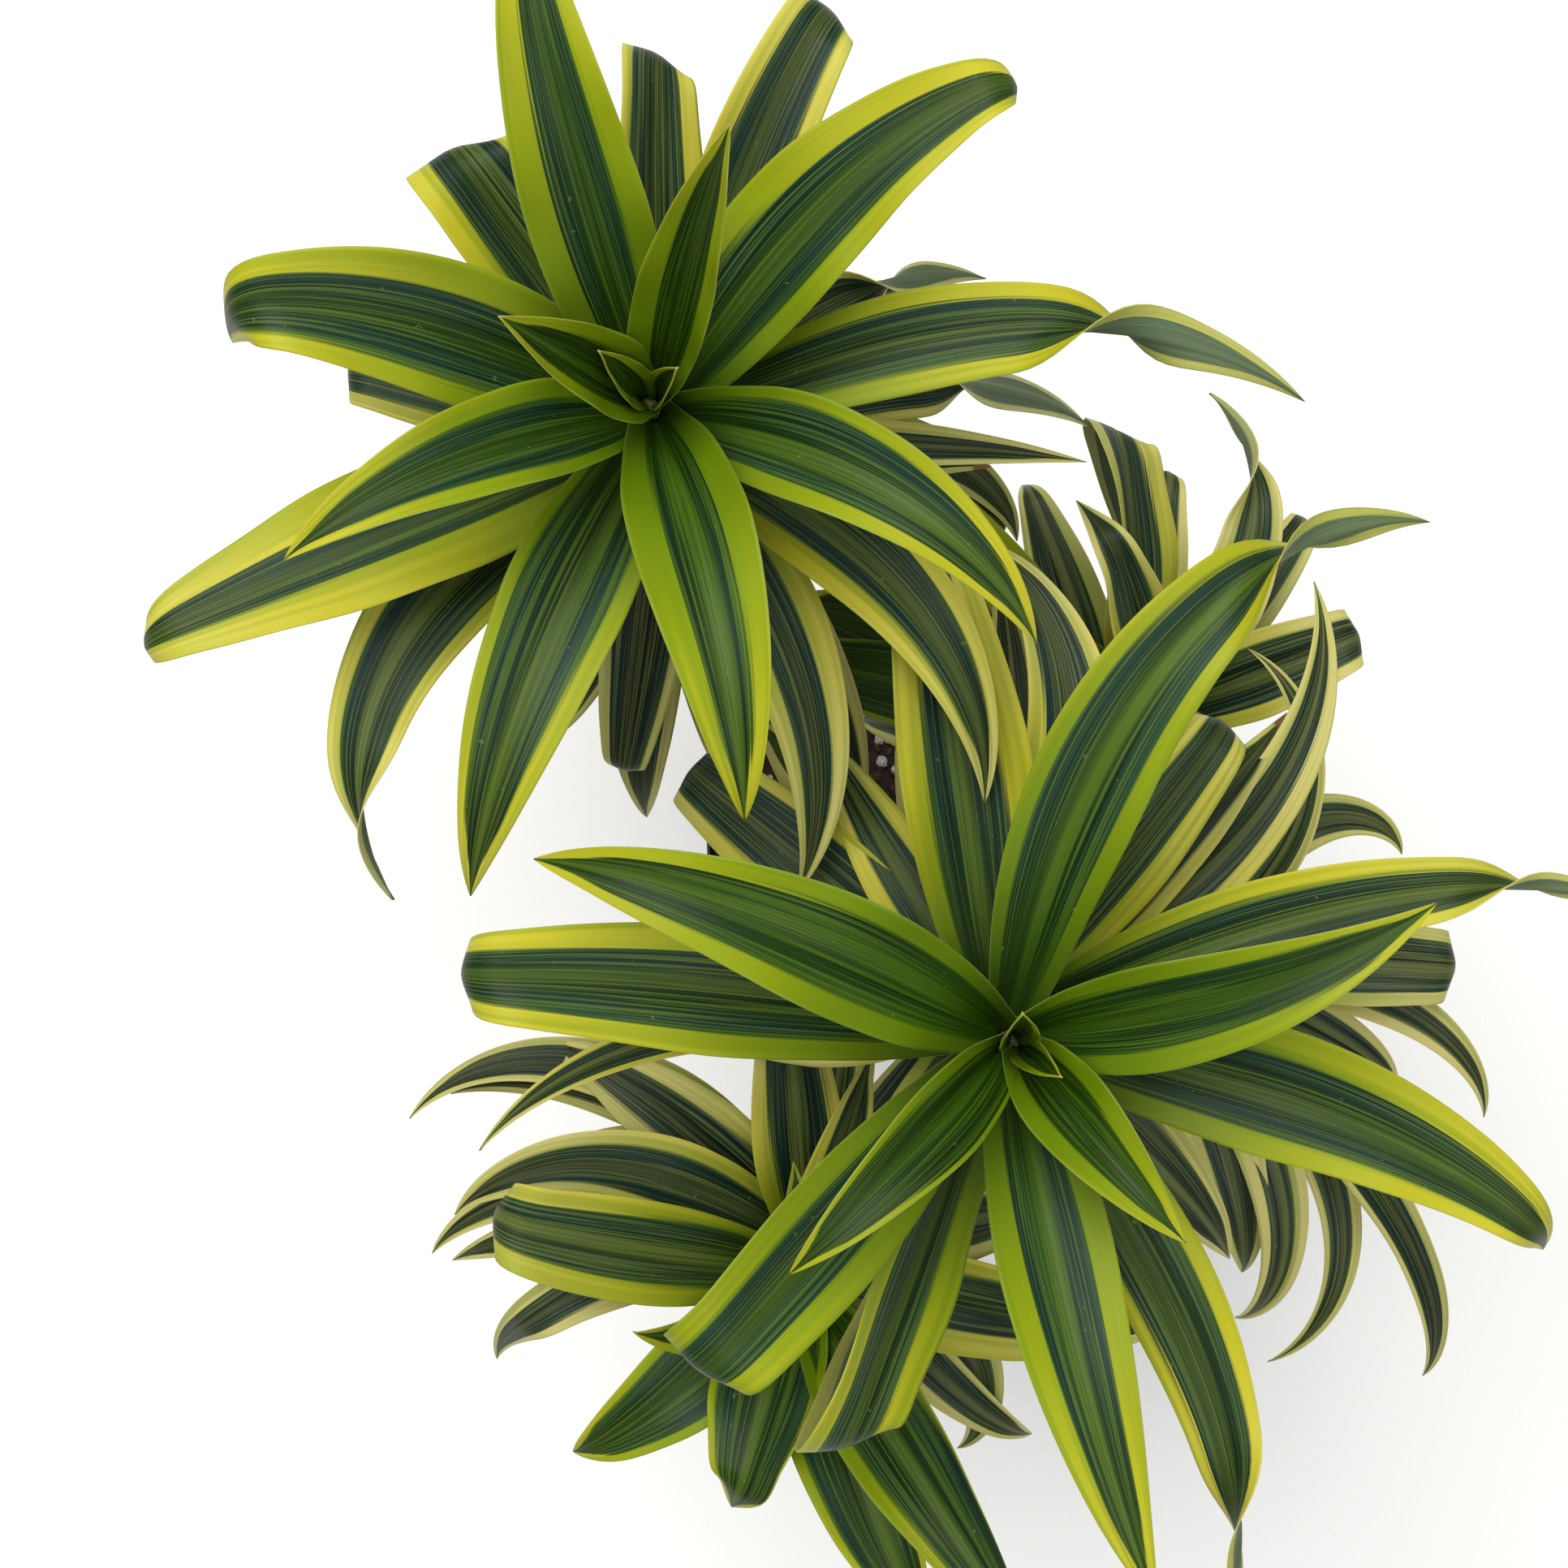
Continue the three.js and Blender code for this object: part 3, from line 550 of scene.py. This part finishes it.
def width_share(share):
    """Share of the full width at a share of the length: a foot that clasps the
    stem, widest before the middle, and a long taper to a fine point."""
    if share < WIDEST_AT:
        return FOOT_SHARE + (1 - FOOT_SHARE) * math.sin(0.5 * math.pi * share / WIDEST_AT)
    past = (share - WIDEST_AT) / (1 - WIDEST_AT)
    return 1 - (1 - POINT_SHARE) * past ** TAPER


def leaf_sections(head, row):
    """Where each cross-section of a blade lies: its middle, the way across, the
    way its upper face looks, half its width and the depth of its channel."""
    below, heading, length, width, rise, droop, sway, roll, twist, crease, at = row
    axis = Vector(head["axis"]).normalized()
    heading = math.radians(heading)
    place = Vector(head["tip"]) - axis * below
    place += Vector((math.cos(heading), math.sin(heading), 0)) * LEAF_INSET
    upright_share = min(1.0, max(0.0, (rise - FLAT_RISE) / UPRIGHT_SPAN))
    channel_at_foot = FLAT_CHANNEL + UPRIGHT_CHANNEL * upright_share
    sections = []
    for step in range(LEAF_STEPS + 1):
        share = step / LEAF_STEPS
        folded = ease((share - at) / FOLD_SPAN + 0.5)
        twisted = ease((share - at) / TWIST_SPAN + 0.5)
        pitch = math.radians(rise - droop * share * share - crease * folded)
        turn = heading + math.radians(sway) * share * share
        along = Vector((
            math.cos(turn) * math.cos(pitch), math.sin(turn) * math.cos(pitch), math.sin(pitch)
        ))
        level = Vector((-math.sin(turn), math.cos(turn), 0))
        lean = math.radians(roll + twist * twisted)
        across = level * math.cos(lean) + along.cross(level) * math.sin(lean)
        face = along.cross(across)
        half = 0.5 * width * width_share(share)
        channel = channel_at_foot * (1 + (TIP_CHANNEL_SHARE - 1) * share)
        channel += CLASP * (1 - ease(share / CLASP_SPAN))
        channel += TWIST_CHANNEL * abs(twist) / 180 * 4 * twisted * (1 - twisted)
        channel -= FOLD_ARCH * min(1.0, crease / 90) * folded
        sections.append((place.copy(), across, face, half, math.radians(channel)))
        place += along * (length / LEAF_STEPS)
    return sections


def column_place(side):
    """Where a column of the grid lies across the leaf, closer together at the edges."""
    return 0.6 * math.sin(0.5 * math.pi * side) + 0.4 * side


def add_leaf(bm, marks, thickness, head, row, traits):
    """One blade: a grid bent along the leaf's sections, with a channel, a shallow
    midrib groove and a slight wave along its edges."""
    seed = traits["seed"]
    sections = leaf_sections(head, row)
    grid = bmesh.ops.create_grid(
        bm, x_segments=LEAF_STEPS, y_segments=LEAF_COLUMNS, size=1.0, calc_uvs=True
    )
    waves = 2.5 + 2.0 * seed
    for vert in grid["verts"]:
        step = round(0.5 * (vert.co.x + 1) * LEAF_STEPS)
        share = step / LEAF_STEPS
        side = column_place(vert.co.y)
        place, across, face, half, channel = sections[step]
        lift = half * math.sin(channel) * abs(side) ** 1.35
        groove = GROOVE_DEPTH * math.exp(-((side / GROOVE_SHARE) ** 2)) * (1 - share)
        swing = math.sin(math.tau * (waves * share + 3 * seed))
        wave = EDGE_WAVE_SHARE * half * side * abs(side) * swing
        reach = side * half * math.cos(channel)
        vert.co = (place + across * reach + face * (lift + wave - groove)) * MM
        vert[thickness][0] = 1 + (EDGE_THICKNESS_SHARE - 1) * abs(side) ** 0.7
        vert[marks["share"]] = share
        vert[marks["across"]] = side
        for name in LEAF_MARKS[2:]:
            vert[marks[name]] = traits[name]


def older_rows(head, index):
    """The older leaves low on a stem, which hang on all sides of it by the golden
    angle, with seeded draws for their size and bend."""
    older = head["older"]
    rows = []
    for leaf in range(older["count"]):
        pick = [draw(leaf + 1 + 20 * index, trait) for trait in range(7)]
        rows.append((
            older["below"] + older["spacing"] * leaf,
            older["heading"] + GOLDEN_ANGLE * leaf,
            older["length"] + VARIATION["length"] * pick[1],
            OLDER_WIDTH + VARIATION["width"] * pick[2],
            OLDER_RISE - VARIATION["rise"] * pick[3],
            OLDER_DROOP + VARIATION["droop"] * pick[4],
            VARIATION["sway"] * (pick[5] - 0.5),
            VARIATION["roll"] * (pick[6] - 0.5),
            0, 0, 0.8,
        ))
    return rows


def leaf_traits(letter, head, row, number):
    """Age, markings and dryness of a leaf: what the photograph shows of it, or
    else a seeded draw."""
    youngest, span = head["age"]
    traits = dict(
        age=min(1.0, youngest + row[0] / span),
        seed=draw(number, 11),
        margin=0.3 + 0.14 * draw(number, 12),
        stripe=draw(number, 13),
        dry=0.03 if draw(number, 14) > 0.8 and row[0] > 50 else 0.0,
    )
    traits.update(LEAF_TRAITS.get((letter, row[0]), {}))
    return traits


def leaves(letter, head, index, materials):
    """All the leaves of a head in one piece, given their thickness by a modifier."""
    bm = bmesh.new()
    bm.loops.layers.uv.new("leaf")
    marks = {name: bm.verts.layers.float.new(name) for name in LEAF_MARKS}
    thickness = bm.verts.layers.deform.new()
    for number, row in enumerate(head["leaves"] + older_rows(head, index)):
        traits = leaf_traits(letter, head, row, number + 50 * index)
        add_leaf(bm, marks, thickness, head, row, traits)
    piece = finished(f"leaves_{letter}", bm, materials, [f"head_{letter}"])
    piece.vertex_groups.new(name="thickness")
    wall = piece.modifiers.new("blade thickness", "SOLIDIFY")
    wall.thickness = BLADE_THICKNESS
    wall.offset = -1.0
    wall.vertex_group = "thickness"
    wall.material_offset = 1
    wall.material_offset_rim = 2
    return piece


# Stems and canes

def add_tube(bm, scar_mark, points, radius_at, sides, spacing, height, seed):
    """A woody tube along a run of points: a circle extruded from point to point,
    with the raised scar of a fallen leaf at every spacing."""
    ring = bmesh.ops.create_circle(bm, cap_ends=True, segments=sides, radius=1.0)["verts"]
    for vert in ring:
        vert[scar_mark] = 0.0
    flat = [vert.co.copy() for vert in ring]
    edges = [edge for edge in bm.edges if edge.verts[0] in ring and edge.verts[1] in ring]
    travelled = 0.0
    for index, point in enumerate(points):
        ahead = points[min(index + 1, len(points) - 1)] - points[max(index - 1, 0)]
        turn = ahead.to_track_quat("Z", "Y").to_matrix()
        if index:
            travelled += (point - points[index - 1]).length
            new = bmesh.ops.extrude_edge_only(bm, edges=edges)["geom"]
            edges = [part for part in new if isinstance(part, bmesh.types.BMEdge)]
            ring = [part for part in new if isinstance(part, bmesh.types.BMVert)]
        phase = (travelled / spacing + seed) % 1.0
        scar = math.exp(-((phase - 0.5) / 0.09) ** 2)
        groove = math.exp(-((phase - 0.64) / 0.05) ** 2)
        for vert, corner in zip(ring, flat):
            radius = radius_at(index / (len(points) - 1))
            radius += height * (scar - 0.8 * groove)
            radius += KNOB_HEIGHT * noise.noise((point + corner * radius) * KNOB_SCALE)
            vert.co = (point + turn @ (corner * radius)) * MM
            vert[scar_mark] = max(scar, groove)
    bmesh.ops.holes_fill(bm, edges=edges, sides=sides)


def cane_points(start, head):
    """Points along a cane, from its upright foot to the underside of a head."""
    axis = Vector(head["axis"]).normalized()
    end = Vector(head["tip"]) - axis * head["stem"]
    climb = end.z - start.z
    leave = start + Vector((0, 0, 0.3 * climb))
    lead = end - axis * (0.35 * climb)
    steps = round(climb / CANE_STEP)
    points = []
    for step in range(steps + 1):
        t = step / steps
        points.append(
            start * (1 - t) ** 3 + leave * 3 * t * (1 - t) ** 2
            + lead * 3 * t * t * (1 - t) + end * t ** 3
        )
    return points


def straight(start, end, step):
    """Points along a straight run, about a step apart."""
    count = max(1, round((end - start).length / step))
    return [start.lerp(end, index / count) for index in range(count + 1)]


def cane(name, root, fork, heads, material, index):
    """A bare cane from the soil up to its head, or through a fork to two."""
    bm = bmesh.new()
    scar_mark = bm.verts.layers.float.new("scar")
    foot = Vector((*root, CANE_FOOT))
    collar = Vector((*root, CANE_STRAIGHT_TO))
    trunk = straight(foot, collar, CANE_STEP)
    start = collar
    if fork:
        start = Vector(fork)
        trunk += straight(collar, start, CANE_STEP)[1:]
        add_tube(
            bm, scar_mark, trunk, lambda share: CANE_FOOT_RADIUS,
            CANE_SIDES, SCAR_SPACING, SCAR_HEIGHT, 0.3,
        )
        trunk = [start - Vector((0, 0, 2))]
    for letter in heads:
        points = trunk + cane_points(start, HEADS[letter])[1:]
        add_tube(
            bm, scar_mark, points,
            lambda share: CANE_FOOT_RADIUS + (CANE_TOP_RADIUS - CANE_FOOT_RADIUS) * share,
            CANE_SIDES, SCAR_SPACING, SCAR_HEIGHT, 0.17 * index,
        )
    bmesh.ops.recalc_face_normals(bm, faces=bm.faces)
    return finished(name + "_bark", bm, [material], [name])


def leafy_stem(letter, head, material):
    """The green stem that carries a head's leaves, ringed where each one sits."""
    bm = bmesh.new()
    scar_mark = bm.verts.layers.float.new("scar")
    axis = Vector(head["axis"]).normalized()
    tip = Vector(head["tip"])
    points = straight(tip - axis * head["stem"], tip, STEM_STEP)
    add_tube(
        bm, scar_mark, points,
        lambda share: STEM_FOOT_RADIUS + (STEM_TOP_RADIUS - STEM_FOOT_RADIUS) * share,
        STEM_SIDES, STEM_SCAR_SPACING, STEM_SCAR_HEIGHT, 0.1,
    )
    bmesh.ops.recalc_face_normals(bm, faces=bm.faces)
    return finished(f"leafy_stem_{letter}", bm, [material], [f"head_{letter}"])


def cane_bark():
    material, shader, surface = new_material("cane bark")
    place = shader.place()
    scar = shader.attribute("scar")
    long_place = shader.node("ShaderNodeMapping", {"Vector": place, "Scale": (1, 1, 0.18)}).outputs[0]
    fibres = shader.noise(long_place, scale=900.0, detail=4.0, roughness=0.65)
    patches = shader.noise(place, scale=55.0, detail=3.0)
    wood = shader.ramp(fibres, [
        (0.25, colour(92, 80, 60)),
        (0.55, colour(146, 130, 102)),
        (0.8, colour(176, 164, 136)),
    ])
    wood = shader.mix(shader.step(patches, 0.45, 0.7, 0.0, 0.6), wood, colour(112, 108, 84))
    wood = shader.mix(shader.math("MULTIPLY", scar, 0.6), wood, colour(76, 62, 46))
    shader.put(surface.inputs["Base Color"], wood)
    shader.put(surface.inputs["Roughness"], shader.math("MULTIPLY_ADD", fibres, 0.3, 0.6))
    shader.put(surface.inputs["Normal"], shader.bump(fibres, 0.4 * MM, 0.7))
    return material


def stem_skin():
    material, shader, surface = new_material("young stem skin")
    place = shader.place()
    mottle = shader.noise(place, scale=160.0, detail=3.0)
    skin = shader.ramp(mottle, [(0.3, colour(104, 118, 48)), (0.7, colour(150, 152, 84))])
    skin = shader.mix(shader.attribute("scar"), skin, colour(96, 82, 50))
    shader.put(surface.inputs["Base Color"], skin)
    shader.put(surface.inputs["Roughness"], shader.math("MULTIPLY_ADD", mottle, 0.3, 0.4))
    shader.put(surface.inputs["Normal"], shader.bump(mottle, 0.2 * MM, 0.5))
    return material


# Soil

SOIL_MOUND = 4 * MM
SOIL_TAPER = 0.14
SOIL_RINGS = 26
SOIL_SIDES = 80
GRAIN_COUNT = 1500
GRAIN_SEED = 7
PERLITE_SHARE = 0.07


def potting_soil(material):
    """A lumpy mound cut from a turned outline, strewn with bark bits and perlite."""
    low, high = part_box("soil")
    radius = high.x
    edge = high.z - SOIL_MOUND
    foot_radius = radius - SOIL_TAPER * (edge - low.z)
    bm = bmesh.new()
    tone = bm.verts.layers.float.new("tone")
    outline = [(0.0, low.z), (foot_radius, low.z), (radius, edge)]
    for ring in range(1, SOIL_RINGS + 1):
        share = 1 - ring / SOIL_RINGS
        outline.append((radius * share, high.z - SOIL_MOUND * share * share))
    turned(bm, outline, SOIL_SIDES)
    for vert in bm.verts:
        reach = math.hypot(vert.co.x, vert.co.y)
        if vert.co.z > high.z - 1.5 * SOIL_MOUND and reach < 0.98 * radius:
            lump = noise.fractal(vert.co * 190, 0.8, 2.0, 4) * 1.6 * MM
            vert.co.z += lump - 1.0 * MM
        vert[tone] = 0.3
    noise.seed_set(GRAIN_SEED)
    for grain in range(GRAIN_COUNT):
        pick = [draw(grain + 1, trait) for trait in range(20, 29)]
        reach = 0.965 * radius * math.sqrt(pick[0])
        angle = math.tau * pick[1]
        size = (0.9 + 2.6 * pick[2] ** 3) * MM
        top = high.z - SOIL_MOUND * (reach / radius) ** 2 - 0.6 * MM
        perlite = pick[3] < PERLITE_SHARE
        stretch = Vector((1.0, 1.0, 0.8)) if perlite else Vector((1.0 + 1.6 * pick[4], 0.8, 0.45))
        place = Matrix.Translation((reach * math.cos(angle), reach * math.sin(angle), top))
        tilt = Matrix.Rotation(0.9 * (pick[6] - 0.5), 4, "X")
        spin = Matrix.Rotation(math.tau * pick[5], 4, "Z") @ tilt
        shape = place @ spin @ Matrix.Diagonal((*(stretch * size), 1.0))
        made = bmesh.ops.create_icosphere(bm, subdivisions=1, radius=1.0, matrix=shape)
        for vert in made["verts"]:
            vert.co += 0.3 * size * noise.noise_vector(vert.co * 900)
            vert[tone] = 1.0 if perlite else 0.7 * pick[7]
    return finished("potting_soil", bm, [material], ["soil"])


def peat():
    material, shader, surface = new_material("peat and bark")
    place = shader.place()
    tone = shader.attribute("tone")
    crumbs = shader.noise(place, scale=900.0, detail=5.0, roughness=0.7)
    soil = shader.ramp(tone, [
        (0.0, colour(38, 27, 20)),
        (0.4, colour(58, 42, 30)),
        (0.72, colour(104, 74, 48)),
        (0.95, colour(226, 222, 212)),
    ])
    soil = shader.mix(shader.step(crumbs, 0.4, 0.65, 0.55, 0.0), soil, colour(22, 16, 12))
    shader.put(surface.inputs["Base Color"], soil)
    shader.put(surface.inputs["Roughness"], shader.math("MULTIPLY_ADD", crumbs, 0.2, 0.78))
    shader.put(surface.inputs["Normal"], shader.bump(crumbs, 0.6 * MM, 0.9))
    return material


# Pot

POT_BASE_RADIUS = 62.5 * MM
POT_WALL = 1.6 * MM
POT_SIDES = 128
COLLAR_HEIGHT = 17 * MM
COLLAR_STEP = 4.2 * MM
BEAD_DROPS = (6 * MM, 9 * MM)
FLOOR_RADIUS = POT_BASE_RADIUS - 9 * MM
FLOOR_LOW = 1.2 * MM
FLOOR_TOP = 2 * MM
DRAIN_COUNT = 6
DRAIN_RADIUS = 4.5
DRAIN_CIRCLE = 42
DRAIN_SIDES = 24


def turned(bm, outline, steps):
    """Spins an outline of radius and height round the upright axis."""
    verts = [bm.verts.new((radius, 0.0, height)) for radius, height in outline]
    edges = [bm.edges.new(pair) for pair in zip(verts, verts[1:])]
    bmesh.ops.spin(
        bm, geom=verts + edges, cent=(0, 0, 0), axis=(0, 0, 1), angle=math.tau,
        steps=steps, use_merge=True, use_duplicate=False,
    )
    bmesh.ops.remove_doubles(bm, verts=bm.verts, dist=1e-6)
    bmesh.ops.recalc_face_normals(bm, faces=bm.faces)


def drained_floor(bm):
    """Fills the open middle of the pot's floor, below and above, round drain holes."""
    rims = [[] for hole in range(DRAIN_COUNT)]
    for height in (FLOOR_LOW, FLOOR_TOP):
        edges = [
            edge for edge in bm.edges
            if edge.is_boundary and abs(edge.verts[0].co.z - height) < 0.1 * MM
        ]
        for hole, rim in enumerate(rims):
            angle = math.tau * (hole + 0.5) / DRAIN_COUNT
            place = Vector((math.cos(angle), math.sin(angle), 0)) * DRAIN_CIRCLE * MM
            place.z = height
            ring = bmesh.ops.create_circle(
                bm, segments=DRAIN_SIDES, radius=DRAIN_RADIUS * MM, matrix=Matrix.Translation(place)
            )["verts"]
            ring_edges = list(dict.fromkeys(edge for vert in ring for edge in vert.link_edges))
            rim += ring_edges
            edges += ring_edges
        bmesh.ops.triangle_fill(bm, edges=edges, use_beauty=True, normal=(0, 0, 1))
    for rim in rims:
        bmesh.ops.bridge_loops(bm, edges=rim)
    bmesh.ops.recalc_face_normals(bm, faces=bm.faces)


def nursery_pot(material):
    """A tapered pot with a rolled collar, two beads under it and a raised floor."""
    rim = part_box("pot")[1].x
    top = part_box("pot")[1].z
    collar = top - COLLAR_HEIGHT
    neck = rim - COLLAR_STEP
    foot = POT_BASE_RADIUS
    outline = [
        (FLOOR_RADIUS, FLOOR_LOW),
        (FLOOR_RADIUS + 1 * MM, 0.0),
        (foot - 1.5 * MM, 0.0),
        (foot, 1.5 * MM),
    ]
    for drop in reversed(BEAD_DROPS):
        z = collar - drop
        wall = foot + (neck - foot) * (z / collar)
        outline += [
            (wall - 0.05 * MM, z - 0.8 * MM),
            (wall + 0.35 * MM, z - 0.3 * MM),
            (wall + 0.35 * MM, z + 0.3 * MM),
            (wall - 0.05 * MM, z + 0.8 * MM),
        ]
    outline += [
        (neck, collar),
        (rim - 1.2 * MM, collar + 0.8 * MM),
        (rim - 0.9 * MM, collar + 1.6 * MM),
        (rim - 0.4 * MM, top - 2.6 * MM),
        (rim, top - 2.2 * MM),
        (rim, top - 0.7 * MM),
        (rim - 0.5 * MM, top),
        (rim - POT_WALL + 0.1 * MM, top),
        (rim - POT_WALL - 0.2 * MM, top - 0.5 * MM),
        (rim - POT_WALL - 1.0 * MM, collar + 3 * MM),
        (neck - POT_WALL, collar + 1.5 * MM),
        (foot - POT_WALL, FLOOR_TOP),
        (FLOOR_RADIUS, FLOOR_TOP),
    ]
    bm = bmesh.new()
    turned(bm, outline, POT_SIDES)
    drained_floor(bm)
    piece = finished("nursery_pot", bm, [material], ["pot"])
    soften = piece.modifiers.new("soft corners", "BEVEL")
    soften.width = 0.3 * MM
    soften.segments = 2
    soften.limit_method = "ANGLE"
    soften.angle_limit = math.radians(25)
    return piece


def black_plastic():
    material, shader, surface = new_material("black moulded plastic")
    place = shader.place()
    grain = shader.noise(place, scale=1400.0, detail=2.0)
    dust = shader.noise(place, scale=60.0, detail=5.0, roughness=0.7)
    tint = shader.mix(shader.step(dust, 0.5, 0.75, 0.0, 0.35), colour(17, 18, 19), colour(70, 64, 54))
    shader.put(surface.inputs["Base Color"], tint)
    shader.put(surface.inputs["Roughness"], shader.step(dust, 0.35, 0.75, 0.22, 0.5))
    shader.put(surface.inputs["Normal"], shader.bump(grain, 0.05 * MM, 0.4))
    return material


# Studio

def studio_floor():
    bm = bmesh.new()
    bmesh.ops.create_grid(bm, x_segments=1, y_segments=1, size=4.0)
    mesh = bpy.data.meshes.new("floor")
    bm.to_mesh(mesh)
    bm.free()
    floor = bpy.data.objects.new("floor", mesh)
    bpy.context.scene.collection.objects.link(floor)
    material, shader, surface = new_material("pale floor")
    surface.inputs["Base Color"].default_value = (0.95, 0.95, 0.95, 1.0)
    surface.inputs["Roughness"].default_value = 0.9
    surface.inputs["Specular IOR Level"].default_value = 0.1
    mesh.materials.append(material)


def lamp(name, place, aim, size, power, tint):
    light = bpy.data.lights.new(name, "AREA")
    light.shape = "DISK"
    light.size = size
    light.energy = power
    light.color = tint
    lamp_object = bpy.data.objects.new(name, light)
    lamp_object.location = place
    lamp_object.rotation_euler = (Vector(aim) - Vector(place)).to_track_quat("-Z", "Y").to_euler()
    bpy.context.scene.collection.objects.link(lamp_object)


def studio_light():
    world = bpy.data.worlds.new("soft sky")
    bpy.context.scene.world = world
    world.use_nodes = True
    world.node_tree.nodes["Background"].inputs["Color"].default_value = (1.0, 1.0, 0.97, 1.0)
    world.node_tree.nodes["Background"].inputs["Strength"].default_value = 0.36
    middle = (cad_low + cad_high) / 2
    lamp("key", (-0.6, 0.9, 2.5), middle, 2.2, 68, (1.0, 0.985, 0.95))
    lamp("fill", (1.0, -1.0, 2.3), middle, 2.0, 20, (0.97, 0.99, 1.0))
    bpy.context.scene.view_settings.view_transform = "Standard"


def photo_camera():
    lens = bpy.data.cameras.new("camera")
    lens.sensor_width = SENSOR_WIDTH
    lens.lens = FOCAL_PIXELS * SENSOR_WIDTH / PICTURE_WIDTH
    camera = bpy.data.objects.new("camera", lens)
    camera.location = CAMERA_PLACE
    bpy.context.scene.collection.objects.link(camera)
    bpy.context.scene.camera = camera


photo_camera()
studio_light()
studio_floor()

nursery_pot(black_plastic())
potting_soil(peat())
bark = cane_bark()
for index, (name, row) in enumerate(CANES.items()):
    cane(name, row["root"], row["fork"], row["heads"], bark, index)
markings = variegation()
blade = [leaf_upper(markings), leaf_under(markings), leaf_rim(markings)]
skin = stem_skin()
for index, (letter, head) in enumerate(HEADS.items()):
    leafy_stem(letter, head, skin)
    leaves(letter, head, index, blade)
